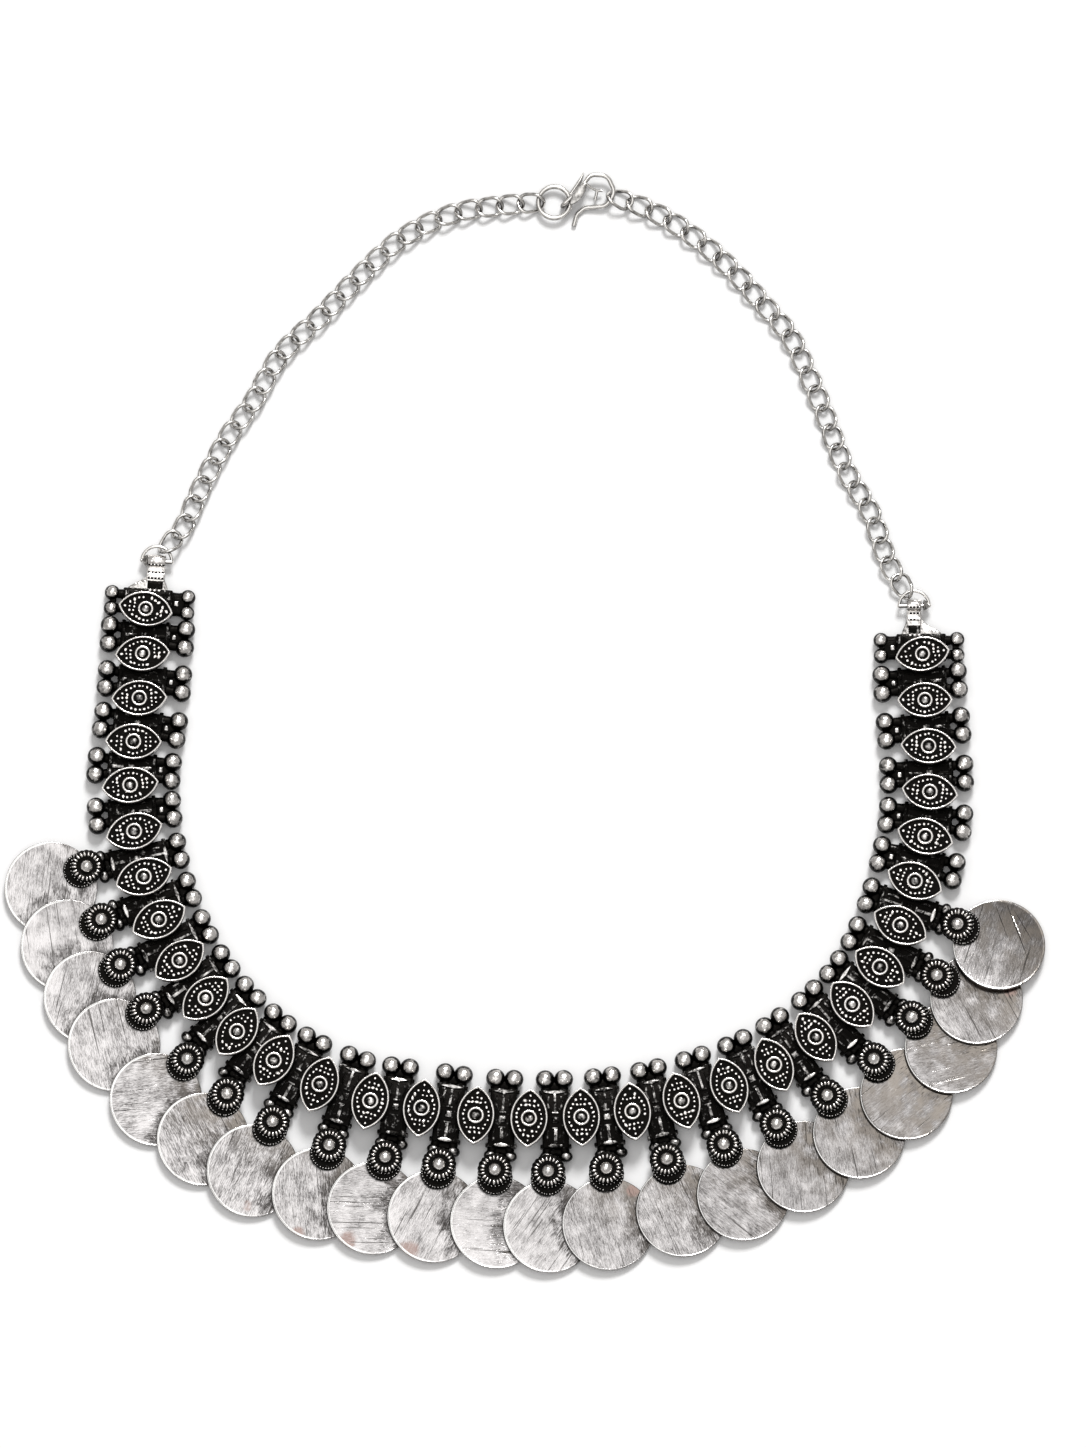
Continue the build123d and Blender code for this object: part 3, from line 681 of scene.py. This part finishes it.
chance = random.Random(23)
bars = Casting()
ballModels = {hand: ballUnit(0.95, 0.54, 0.3, hand) for hand in (-1, 1)}
hangerModels = {hand: ballUnit(0.62, 0.26, 0.08, hand) for hand in (-1, 1)}
coinBars = range(band["firstCoinBar"], band["firstCoinBar"] + band["coins"])
small = bar["hangerBall"] + 0.1
for number in range(1, band["tiles"]):
    at = bandFrame(number + 0.5, settle=band["settle"])
    barCasting(bars, at, number in coinBars, chance)
    for hand, balls in barBalls(bars, at, number in coinBars, bar["ballRadius"], bar["ballSpacing"]).items():
        repeat(bars, ballModels[hand], [ball for ball in balls if ball.to_scale().z > small])
        repeat(bars, hangerModels[hand], [ball for ball in balls if ball.to_scale().z < small])
bars.piece("crossBars", darkSilver, "dark_silver", "cross_bars")


# Coin pendants: how each one lies (slide, swing, drop), how dark and how strongly brushed it is, the
# stains by coin (x, y, size) and the last coin's scratches (x, y, x, y, width, polish with painted light)
pendant = {"radius": 8.35, "thickness": 0.7, "gap": 0.13, "closestStep": 8.7, "lastTilt": 9.0,
           "reach": 9.4, "base": 2.96, "height": 1.1, "grains": 21, "milgrains": 13, "collarOffset": 1.05,
           "collarBeads": 22, "postInset": 1.65, "domeRadius": 1.18, "ringWire": 0.7, "ringClearance": 0.15,
           "lie": [(-0.08, 17, -0.11), (0.02, 16, -0.08), (-0.1, 19, -0.05), (-0.15, 12, 0.02),
                   (0.27, 8, 0.08), (0.25, 10, 0.08), (0.06, 5, 0.11), (0.04, 5, 0.05), (-0.15, -7, 0.1),
                   (-0.08, 2, 0.1), (-0.17, 5, 0.1), (-0.31, 0, 0.16), (-0.25, -4, 0.17), (-0.06, 5, 0.13),
                   (0.08, 4, 0.14), (0.1, 8, 0.06), (0.12, 8, 0.04), (0.19, 2, 0.01), (0.15, 0, 0.06),
                   (-0.12, -3, -0.02), (-0.06, -7, -0.01)],
           "shade": [0.26, 0.22, 0.28, 0.32, 0.38, 0.49, 0.40, 0.38, 0.29, 0.29, 0.19, 0.26, 0.45, 0.49,
                     0.50, 0.54, 0.61, 0.72, 0.65, 0.59, 0.60],
           "brush": [0.8, 0.55, 0.8, 1.0, 1.0, 1.3, 1.2, 1.0, 0.7, 0.8, 0.5, 0.7, 0.8, 0.9, 0.7, 0.6, 0.6,
                     0.5, 0.6, 0.7, 0.8],
           "patch": {7: (-1.0, -6.4, 1.2), 8: (-3.6, -7.0, 1.5), 9: (-4.4, -6.0, 2.3), 10: (-4.5, -6.2, 2.2),
                     13: (4.4, 6.0, 1.4), 14: (4.6, 5.2, 1.4), 20: (6.2, 1.5, 1.4)},
           "gouges": [(1.6, 7.4, 4.9, -1.8, 0.10, -0.8), (2.5, 5.4, 4.0, 1.4, 0.07, 1.6),
                      (-0.6, 7.6, 1.6, 1.2, 0.05, -0.5), (2.8, 6.6, 5.9, 1.0, 0.05, -0.5)]}
lastCoin = band["coins"] - 1


# A small thing set at an angle round a rosette
def around(at, angle, radius, z, size):
    return at @ turning(angle) @ spot(radius, 0, z) @ sized(*size)


def rosette(cast, at, chance):
    low, top = pendant["base"], pendant["base"] + pendant["height"]
    rows = [(2.75, low, 0.0), (2.94, low + 0.06, 0.05), (3.0, low + 0.3, 0.1), (2.96, low + 0.48, 0.1),
            (2.88, low + 0.55, 0.0), (2.84, low + 0.75, 0.0), (2.82, top - 0.16, 0.0),
            (2.74, top - 0.04, 0.0), (2.60, top, 0.0), (1.6, top - 0.05, 0.0), (1.2, top - 0.12, 0.0),
            (0.6, top - 0.12, 0.0)]
    cast.loft([ringOf(r, z, 80, 0.14 if k in (1, 2, 3) else 0.0, 20) for k, (r, z, _) in enumerate(rows)],
              [p for _, _, p in rows], at)
    grains = []
    start = chance.uniform(0, 360)
    for k in range(pendant["grains"]):
        turn = start + 360 * k / pendant["grains"] + chance.uniform(-1.5, 1.5)
        outward = max(0.0, cos(radians(turn)))
        grains.append(around(at, turn, 2.2 + 0.04 * outward, top - 0.02,
                             (0.48 + 0.06 * outward, chance.uniform(0.2, 0.25), 0.42)))
    beads = []
    collar = at @ spot(pendant["collarOffset"] + chance.uniform(-0.15, 0.25), 0, 0)
    turned(cast, [(2.9, low - 0.52, 0.0), (3.06, low - 0.42, 0.1), (3.10, low - 0.15, 0.15),
                  (2.98, low + 0.04, 0.0), (2.5, low + 0.06, 0.0)], 66, collar, wave=0.10, waves=22)
    for k in range(pendant["collarBeads"]):
        turn = -105 + 210 * k / (pendant["collarBeads"] - 1) + chance.uniform(-2, 2)
        beads.append(around(collar, turn, 2.92, low, (chance.uniform(0.09, 0.17), 0.13, 0.16)))
    for k in range(pendant["milgrains"]):
        turn = -80 + 160 * k / (pendant["milgrains"] - 1)
        beads.append(around(at, turn, 2.92, low + 0.48, (0.12, 0.12, 0.14)))
    rows = [(r, z, 1.0 if z > top + 0.6 else 0.7 if z > top + 0.3 else 0.2)
            for r, z, _ in ballRows(pendant["domeRadius"], top, 10, low=0.45)]
    turned(cast, rows, 24, at)
    return grains, beads


def coinDisc(cast, at, chance):
    radius, half = pendant["radius"], pendant["thickness"] / 2
    rows = [(0.5, -half), (4.0, -half), (radius - 0.16, -half), (radius - 0.04, -half + 0.1),
            (radius, -half + 0.22), (radius, half - 0.16)]
    rim = ((0.03, 0.06), (0.09, 0.01), (0.15, 0.0), (0.21, 0.02), (0.28, 0.034), (0.36, 0.04))
    rows += [(radius - inset, half - drop) for inset, drop in rim]
    rows += [(r, half - 0.04) for r in (radius - 0.5, 7.0, 5.6, 4.2, 2.8, 1.4, 0.4)]
    waves = [(chance.uniform(0.5, 1.1), chance.uniform(0, 6.3), chance.uniform(0, 6.3)) for _ in range(3)]
    loops = []
    for r, z in rows:
        loop = ringOf(r, z, 96)
        for p in loop:
            ripple = sum(sin(f * (p.x * cos(d) + p.y * sin(d)) * 0.6 + start)
                         for f, d, start in waves)
            p.z += 0.008 * ripple * (1 if z > 0 else -1) if r < radius - 0.2 else 0.0
        loops.append(loop)
    # the edge wall gets the darkest value, a painted shade; the light line inside the rim is partly polish
    # and partly a painted highlight
    cast.loft(loops, [1.0, 1.0, 0.6, 0.2, 0.0, 0.0, 1.0, 1.6, 1.6, 1.4, 1.3, 1.3] + [1.0] * 7, at)


# Frame of the bar, of the pendant hung on its pin, and of the coin itself
def coinPlaces(number):
    slide, swing, drop = pendant["lie"][number]
    sine = (pendant["thickness"] + pendant["gap"]) / pendant["closestStep"]
    tilt = pendant["lastTilt"] if number == lastCoin else degrees(asin(sine))
    at = bandFrame(band["firstCoinBar"] + number + 0.5, settle=band["settle"])
    reach = pendant["radius"] * (1 + drop)
    sunk = pendant["radius"] * sin(radians(tilt)) + pendant["thickness"] / 2 + 0.02
    hung = at @ spot(pendant["reach"], slide * bar["width"], 0, swing)
    return at, hung, hung @ spot(reach, 0, sunk) @ turning(-tilt, "X")


# Brushing, tone, stain and nearness to the next coin's edge for every vertex of the coin's face, with a
# painted shading gradient and a painted highlight on the rim
def coinWearAndLight(made, cast, number, face, chance):
    centre, following = (coinPlaces(min(k, lastCoin))[2].translation for k in (number, number + 1))
    spin = Matrix.Rotation(chance.uniform(0, pi), 4, "Z")
    drift = Vector((number * 37.0, number * 11.0, 0))
    patchX, patchY, patchSize = pendant["patch"].get(number + 1, (0, 0, 0))
    own, shade, tarnish, beside, polish = [], [], [], [], list(cast.polish)
    for k, (p, q) in enumerate(zip(cast.points, cast.own)):
        own += list(spin @ q + drift) if k < face else list(q)
        x, y = (p - centre).xy
        # the coin's tone plus a painted shading gradient, darker towards the upper right
        shade.append(pendant["shade"][number] + 0.016 * x + 0.022 * y if k < face else 0.0)
        away = hypot(x - patchX, y - patchY)
        tarnish.append(max(0.0, 1 - 0.6 * away / patchSize) if patchSize and k < face else 0.0)
        # nearness to the next coin's edge, which steers the painted shadow it casts
        gap = (p - following).length - pendant["radius"]
        beside.append(max(0.0, 1 - abs(gap) / 4.5) if number < lastCoin and k < face else 0.0)
        # the rim's light line is a painted highlight, brightest on the left side
        if k < face and polish[k] > 1.2:
            lit = min(1.0, max(0.0, 0.35 - 1.6 * x / pendant["radius"]))
            polish[k] = 1.0 if number > 11 and polish[k] < 1.35 else 1.0 + 0.6 * lit
    made.data.attributes["own"].data.foreach_set("vector", own)
    brush = [pendant["brush"][number]] * len(cast.points)
    for name, values in (("shade", shade), ("tarnish", tarnish), ("beside", beside), ("polish", polish),
                         ("brush", brush)):
        stored = made.data.attributes.get(name) or made.data.attributes.new(name, "FLOAT", "POINT")
        stored.data.foreach_set("value", values)


def coinPendant(number):
    chance = random.Random(100 + number)
    at, hung, coinAt = coinPlaces(number)
    cast = Casting()
    coinDisc(cast, coinAt, chance)
    face = len(cast.points)
    cast.kind = 1
    if number == lastCoin:
        back, top = coinAt.to_3x3().inverted(), pendant["thickness"] / 2
        # dark cuts, and a light line along one of them that is a painted highlight
        for x0, y0, x1, y1, wide, polish in pendant["gouges"]:
            start, end = back @ Vector((x0, y0, 0)), back @ Vector((x1, y1, 0))
            side = Vector((start.y - end.y, end.x - start.x, 0)).normalized() * wide
            spine = ((start, 0.3), (start.lerp(end, 0.5), 1.0), (end, 0.3))
            outline = [(p - side * w).xy for p, w in spine] + [(p + side * w).xy for p, w in spine[::-1]]
            raised(cast, outline, top - 0.1, top + 0.015, 0.02, polish, polish, coinAt)
    sunk = coinAt.translation.z
    post = pendant["postInset"] + (coinAt.translation - hung.translation).xy.length - pendant["radius"]
    turned(cast, [(1.0, sunk, 0.2), (1.0, sunk + 0.9, 0.1), (0.9, pendant["base"] + 0.3, 0.0)], 20,
           hung @ spot(post, 0, 0))
    grains, beads = rosette(cast, hung, chance)
    repeat(cast, grainModel, grains, coinSilver)
    repeat(cast, beadModel, beads, coinSilver)
    inner = bar["pinRadius"] + 3 * pendant["ringClearance"]
    middle = inner + pendant["ringWire"] / 2
    away = bar["pinReach"] + inner - bar["pinRadius"] - pendant["ringClearance"]
    loop = [Vector((away + middle * cos(a), 0, bar["hangerHeight"] + middle * sin(a)))
            for a in circle(28)]
    tube(cast, loop, pendant["ringWire"] / 2, 10, 0.1, at, joined=True, level=Vector((0, 1, 0)))
    name = f"{number + 1:02d}"
    made = cast.piece("coinPendant" + name, (coinSilver, darkSilver), "coin_silver", "coin_pendant_" + name)
    coinWearAndLight(made, cast, number, face, chance)


grainModel = turnedUnit([(1.0, -0.5, 0.0), (1.0, 0.15, 0.9), (0.85, 0.7, 1.6), (0.4, 1.0, 1.6)], 10)
beadModel = turnedUnit([(0.9, -0.5, 0.1), (0.95, 0.3, 0.7), (0.5, 0.88, 1.0)], 7)
for number in range(band["coins"]):
    coinPendant(number)


# End plates: bar, eye, flare and the dotted strap folded round the shackle's pin
plate = {"bottom": 0.6, "thickness": 1.5, "foot": 7.4, "strapWidth": 2.8, "strapInward": 1.3,
         "strapStart": 5.2, "loopDistance": 7.6, "loopHeight": 1.9, "barrel": 1.12, "bore": 0.62}


def flareOutline(away):
    edge, start = bar["width"] / 2 - 0.25, plate["strapStart"]
    middle, wide, half = -plate["strapInward"], plate["strapWidth"] / 2, plate["foot"] / 2
    low, high = middle - wide, middle + wide
    left, right = [], []
    for k in range(7):
        t = k / 6
        bend, y = t * t * (3 - 2 * t), away * (edge + (start - edge) * t)
        left.append((-half + (low + half) * bend, y))
        right.append((half + (high - half) * bend, y))
    return (left + right[::-1])[::-away]


def endPlate(name, at, tile, away, rowsOut, half, fold, node):
    chance = random.Random(tile)
    cast = Casting()
    barCasting(cast, at, False, chance, shoulders=False)
    for hand, balls in barBalls(cast, at, False, bar["endBallRadius"], bar["endSpacing"]).items():
        repeat(cast, ballModels[hand], balls)
    slab(cast, (-3.4, 3.4, -1.9, 1.9, bar["height"] - 0.1, eye["low"] + 0.1), 0.15, 0.1, at)
    head, share = tileHead(at @ spot(0, -away * band["endSetback"], 0), tile)
    repeat(cast, eyeModel, [head @ sized(share, share)])
    low, top = plate["bottom"], plate["bottom"] + plate["thickness"]
    raised(cast, flareOutline(away), low, top, edge=0.25, polish=0.85, side=0.4, at=at)
    mid, distance, barrel = -plate["strapInward"], plate["loopDistance"], plate["barrel"]

    def strap(wide, start, end, z0, z1, edge, polish, shine):
        y0, y1 = sorted((away * start, away * end))
        slab(cast, (mid - wide, mid + wide, y0, y1, z0, z1), edge, polish, at, shine)

    strap(half, plate["strapStart"] - 0.1, distance - 0.4, low, top, 0.18, 0.8, 1.1)
    rows = [(plate["bore"], -half, 0.0), (barrel - 0.1, -half, 0.6), (barrel, -half + 0.12, 1.0),
            (barrel, half - 0.12, 1.0), (barrel - 0.1, half, 0.6), (plate["bore"], half, 0.0)]
    cast.loft([[Vector((x, -r * sin(a), r * cos(a))) for a in circle(28)] for r, x, _ in rows],
              [p for _, _, p in rows], at @ spot(mid, away * distance, plate["loopHeight"]), joined=True)
    for start, end, wide, polish in ((3.9, 5.4, half, 0.85), (2.5, 3.95, half - 0.2, fold)):
        strap(wide, start, end, top - 0.2, top + 0.14, 0.1, polish - 0.3, polish + 0.2)
    studs = [at @ spot(mid + (k - 1) * 0.8, away * 2.15, bar["height"] + 0.05) @ sized(0.36, 0.28, 0.3)
             for k in range(3)]
    for y in rowsOut:
        onBarrel = barrel ** 2 - (y - distance) ** 2
        z = plate["loopHeight"] + sqrt(onBarrel) if onBarrel > 0 else top + (0.14 if y < 5.4 else 0)
        slab(cast, (mid - half + 0.15, mid + half - 0.15, away * y - 0.2, away * y + 0.2, z - 0.2, z + 0.04),
             0.05, -0.8, at)
        studs += [at @ spot(mid + (k - 1.5) * 0.62, away * y, z + 0.02) @ sized(0.17, 0.2, 0.16)
                  for k in range(4)]
    studs += dotFrames(head, share, chance)
    repeat(cast, dotModel, studs)
    cast.piece(name, darkSilver, "dark_silver", node)


firstFrame = bandFrame(1, along=-band["endSetback"])
lastFrame = bandFrame(band["tiles"], along=band["endSetback"])
endPlate("endPlateLeft", firstFrame, 1, -1, (4.4, 5.5, 6.84), 1.6, -0.1, "end_plate_left")
endPlate("endPlateRight", lastFrame, band["tiles"], 1, (5.0, 6.2, 7.2), 1.3, 0.2, "end_plate_right")


# Shackles
shackle = {"radius": 2.7, "wire": 0.6, "pinRadius": 0.4, "clearance": 0.22, "hookAngle": 62.0}


# Gives the place on the bow where the chain's last link hangs
def shackleCasting(name, at, away, node):
    cast = Casting()
    seat = at @ spot(-plate["strapInward"], away * plate["loopDistance"], plate["loopHeight"])
    radius = shackle["radius"]

    def onBow(angle):
        return Vector((-radius * cos(angle), away * radius * sin(angle), 0))

    pin = [Vector((radius * (k / 6 - 1), 0, 0)) for k in range(13)]
    tube(cast, pin, shackle["pinRadius"], 14, 0.5, seat, crownLight=0.8)
    tube(cast, [onBow(pi * k / 28) for k in range(29)], shackle["wire"] / 2, 14, 0.6, seat, crownLight=1.0)
    for side in (-1, 1):
        turned(cast, ballRows(shackle["pinRadius"], 0, 8, under=1.0), 14, seat @ spot(side * radius, 0, 0))
    start = plate["strapWidth"] / 2 + shackle["clearance"]
    rows = [(0.5, 0.0, 0.2), (1.0, 0.05, 0.4), (1.1, 0.16, 0.6), (1.0, 0.34, 0.35), (0.6, 0.8, 0.5),
            (0.2, 1.3, 0.6), (0.08, 1.4, 0.6)]
    turned(cast, rows, 18, seat @ spot(start, 0, 0) @ Matrix.Rotation(pi / 2, 4, "Y"))
    cast.piece(name, brightSilver, "bright_silver", node)
    return seat @ onBow(radians(shackle["hookAngle"]))


leftCatch = shackleCasting("shackleLeft", firstFrame, -1, "shackle_left")
rightCatch = shackleCasting("shackleRight", lastFrame, 1, "shackle_right")


# Chains of twisted links
chain = {
    "length": 5.3, "width": 3.8, "wire": 0.6, "twist": 38.0, "roll": 4.0, "endRoll": 20.0, "rollFade": 0.6,
    "gap": 0.3,
    "leftRoute": [(-62.2, 34.6, 1.15), (-59.1, 41.3, 1.02), (-53.7, 51.7, 1.02), (-49.2, 58.2, 1.02),
                  (-44.9, 65.8, 1.02), (-36.3, 74.4, 1.02), (-29.8, 81.3, 1.02), (-22.6, 87.8, 1.02),
                  (-13.2, 92.4, 1.02), (-5.0, 93.8, 1.02)],
    "rightRoute": [(21.5, 93.4, 1.02), (31.6, 87.1, 1.02), (37.5, 81.7, 1.02), (42.6, 76.0, 1.02),
                   (47.4, 70.2, 1.02), (50.7, 63.3, 1.02), (53.7, 56.0, 1.02), (57.9, 44.9, 1.02),
                   (61.8, 38.2, 1.02), (65.8, 27.4, 1.4)],
    "hookCatch": (15.55, 95.5, 1.36), "hookWire": 0.8, "ringRadius": 2.88, "ringWire": 0.9}


def linkUnit():
    s = chain
    middleHalf, tip = (s["width"] - s["wire"]) / 2, (s["length"] - s["wire"]) / 2
    twist = radians(s["twist"])
    reach = middleHalf / cos(twist)
    slope = atan(reach * sin(twist) / tip)
    start = Vector((tip, 0, 0))
    rise = Vector((0, cos(twist), sin(twist)))
    back = Vector((-cos(slope), 0, -sin(slope)))
    corner = start + rise * reach
    joint = corner + back * reach
    turn = acos(rise.dot(back))
    radius = reach / tan(turn / 2)
    middle = corner + (start + joint - corner * 2) * (1 / (2 * sin(turn / 2) ** 2))
    halfway = middle + (corner - middle).normalized() * radius
    first = arcThrough(start, halfway, joint, 8)
    second = [Vector((-p.x, p.y, -p.z)) for p in reversed(first)]
    side = first + [first[-1].lerp(second[0], k / 3) for k in (1, 2)] + second
    other = [Vector((p.x, -p.y, -p.z)) for p in reversed(side)]
    cast = Casting()
    tube(cast, side[:-1] + other[:-1], s["wire"] / 2 + 0.015, 12, 0.55, joined=True, crownLight=0.8)
    return cast


def chainFrames(start, startRadius, points, end, endRadius):
    s = chain
    stops = [start, *[Vector(p) + shift for p in points], end]
    rows = [(0.0, *stops[0])]
    for before, after in zip(stops, stops[1:]):
        rows.append((rows[-1][0] + (after - before).length, *after))
    reach = s["length"] / 2 - s["wire"] - s["gap"]
    first, last = reach - startRadius, rows[-1][0] - (reach - endRadius)
    count = ceil((last - first) / (s["length"] - 2 * s["wire"] - s["gap"])) + 1
    pitch = (last - first) / (count - 1)
    frames = []
    for i in range(count):
        at = first + i * pitch
        place = Vector(smooth(rows, at)[0])
        ahead = Vector(smooth(rows, min(at + pitch / 2, rows[-1][0]))[0])
        behind = Vector(smooth(rows, max(at - pitch / 2, 0.0))[0])
        along = (ahead - behind).normalized()
        upright = (Vector((0, 0, 1)) - along * along.z).normalized()
        across = upright.cross(along)
        fromEnd, fromStart = (max(0.0, 1 - s["rollFade"] * k) for k in (count - 1 - i, i))
        roll = s["roll"] * sin(2.3 * i) if 1 < i < count - 2 else s["endRoll"] * (fromEnd - fromStart)
        turn = Matrix((along, across, upright)).transposed().to_4x4()
        frames.append(Matrix.Translation(place) @ turn @ turning(roll, "X"))
    return frames


linkModel, bowWire = linkUnit(), shackle["wire"] / 2
ringCatch = Vector(band["ringMiddle"]) + shift - Vector((chain["ringRadius"], 0, 0))
hookCatch = Vector(chain["hookCatch"]) + shift
leftFrames = chainFrames(leftCatch, bowWire, chain["leftRoute"], ringCatch, chain["ringWire"] / 2)
rightFrames = chainFrames(hookCatch, chain["hookWire"] / 2, chain["rightRoute"], rightCatch, bowWire)
for name, frames, node in (("chainLeft", leftFrames, "chain_left"),
                           ("chainRight", rightFrames, "chain_right")):
    links = Casting()
    repeat(links, linkModel, frames, brightSilver)
    links.piece(name, brightSilver, "bright_silver", node)


# Clasp ring and the hook with its leaf-shaped blade and the thinner wires inside it
clasp = {"route": [(8.5, 90.2, 0.43), (9.1, 92.4, 0.43), (10.5, 93.55, 0.55), (14.35, 93.75, 1.02),
                   (16.0, 96.2, 1.5), (14.6, 99.2, 1.9), (11.6, 99.4, 2.1), (9.4, 96.4, 2.42),
                   (6.7, 93.9, 2.42), (6.4, 93.6, 0.43), (9.7, 98.6, 0.43), (10.3, 99.95, 0.43)],
         "bends": [1.6, 1.4, 1.9, 2.0, 1.8, 1.7, 3.0, 0.7, 0.7, 2.0],
         "section": (0.415, 0.40), "taper": 3.2,
         "leafMiddle": (9.4, 95.8), "leafTurn": 55.0, "leafHalf": 2.45, "leafWidth": 0.86,
         "leafLow": 2.3, "leafTop": 2.95,
         "trails": [([(10.7, 97.7, 2.2), (11.6, 97.0, 1.9), (12.7, 96.5, 1.5), (13.7, 96.55, 1.35)], 0.24),
                    ([(12.75, 96.5, 1.5), (12.55, 95.6, 1.3), (12.35, 94.8, 1.1)], 0.27)]}

ringCast = Casting()
middle = Vector(band["ringMiddle"]) + shift
tube(ringCast, [middle + Vector((cos(a), sin(a), 0)) * chain["ringRadius"] for a in circle(72)],
     chain["ringWire"] / 2, 18, 0.6, joined=True, crownLight=0.9)
ringCast.piece("claspRing", brightSilver, "bright_silver", "clasp_ring")

hookPath = bentWire([Vector(p) + shift for p in clasp["route"]], clasp["bends"], 8)
hookCast = Casting()
wide, tall = clasp["section"]
shares = [min(1.0, 0.3 + (place - hookPath[-1]).length / clasp["taper"]) for place in hookPath]
tube(hookCast, hookPath, [(wide * share, tall * share) for share in shares], 14, 0.6, crownLight=0.9)
leaf = [(clasp["leafHalf"] * cos(a), clasp["leafWidth"] * sin(a) * (1 - 0.35 * abs(cos(a)) ** 3))
        for a in circle(32)]
raised(hookCast, leaf, clasp["leafLow"], clasp["leafTop"], 0.12, 0.56, 0.4,
       Matrix.Translation(shift) @ spot(*clasp["leafMiddle"], 0, clasp["leafTurn"]))
for trail, radius in clasp["trails"]:
    tube(hookCast, [Vector(p) + shift for p in trail], radius, 10, 0.7, crownLight=0.9)
hookCast.piece("claspHook", brightSilver, "bright_silver", "clasp_hook")

for node in ("band_thread_outer", "band_thread_inner"):
    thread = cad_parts[node]
    thread.data.materials.clear()
    thread.data.materials.append(waxedThread)
print("pieces ready")


# Floor, light and camera; a lamp is its place, size and power
stand = {"tilt": 8.0, "target": (2.97, -0.545, 0.0), "distance": 3.4, "field": 0.2606, "sensor": 24,
         "overhead": ((-0.1, -0.06, 1.1), 1.1, 3.7), "key": ((0.36, 2.34, 2.76), 0.95, 96.0),
         "room": (1.0, 0.98, 0.965, 1.0), "world": 0.375, "floorWhite": 0.92, "floorGlow": 0.02}

bpy.ops.mesh.primitive_plane_add(size=6, location=(0, 0, -0.0001))
floor = bpy.context.object
floor.name = "tableTop"
paper = newFinish("palePaper", lambda wire: {
    "Base Color": wire.place().noise(40.0, 3.0).ease(0.2, 0.8).blend(
        (stand["floorWhite"],) * 3, (stand["floorWhite"] + 0.01,) * 3),
    "Roughness": 0.9, "Specular IOR Level": 0.1, "Emission Color": (1.0, 1.0, 1.0, 1.0),
    "Emission Strength": stand["floorGlow"]})
floor.data.materials.append(paper)

for name in ("overhead", "key"):
    place, size, power = stand[name]
    light = bpy.data.lights.new(name, "AREA")
    light.shape, light.size, light.energy = "SQUARE", size, power
    lamp = newObject(name, light)
    lamp.location = place
    lamp.rotation_euler = Vector(place).to_track_quat("Z", "Y").to_euler()

world = bpy.data.worlds.new("room")
bpy.context.scene.world = world
world.use_nodes = True
background = world.node_tree.nodes["Background"].inputs
background["Color"].default_value = stand["room"]
background["Strength"].default_value = stand["world"]

lens = bpy.data.cameras.new("camera")
camera = newObject("camera", lens)
tilt = radians(stand["tilt"])
target = (Vector(stand["target"]) + shift) * 0.001
camera.location = target + Vector((0, -sin(tilt), cos(tilt))) * stand["distance"]
camera.rotation_euler = (tilt, 0, 0)
lens.sensor_fit = "VERTICAL"
lens.sensor_height = stand["sensor"]
lens.lens = stand["sensor"] * stand["distance"] / stand["field"]
lens.clip_end = 20
bpy.context.scene.camera = camera
bpy.context.scene.view_settings.view_transform = "Standard"
print("stage ready")
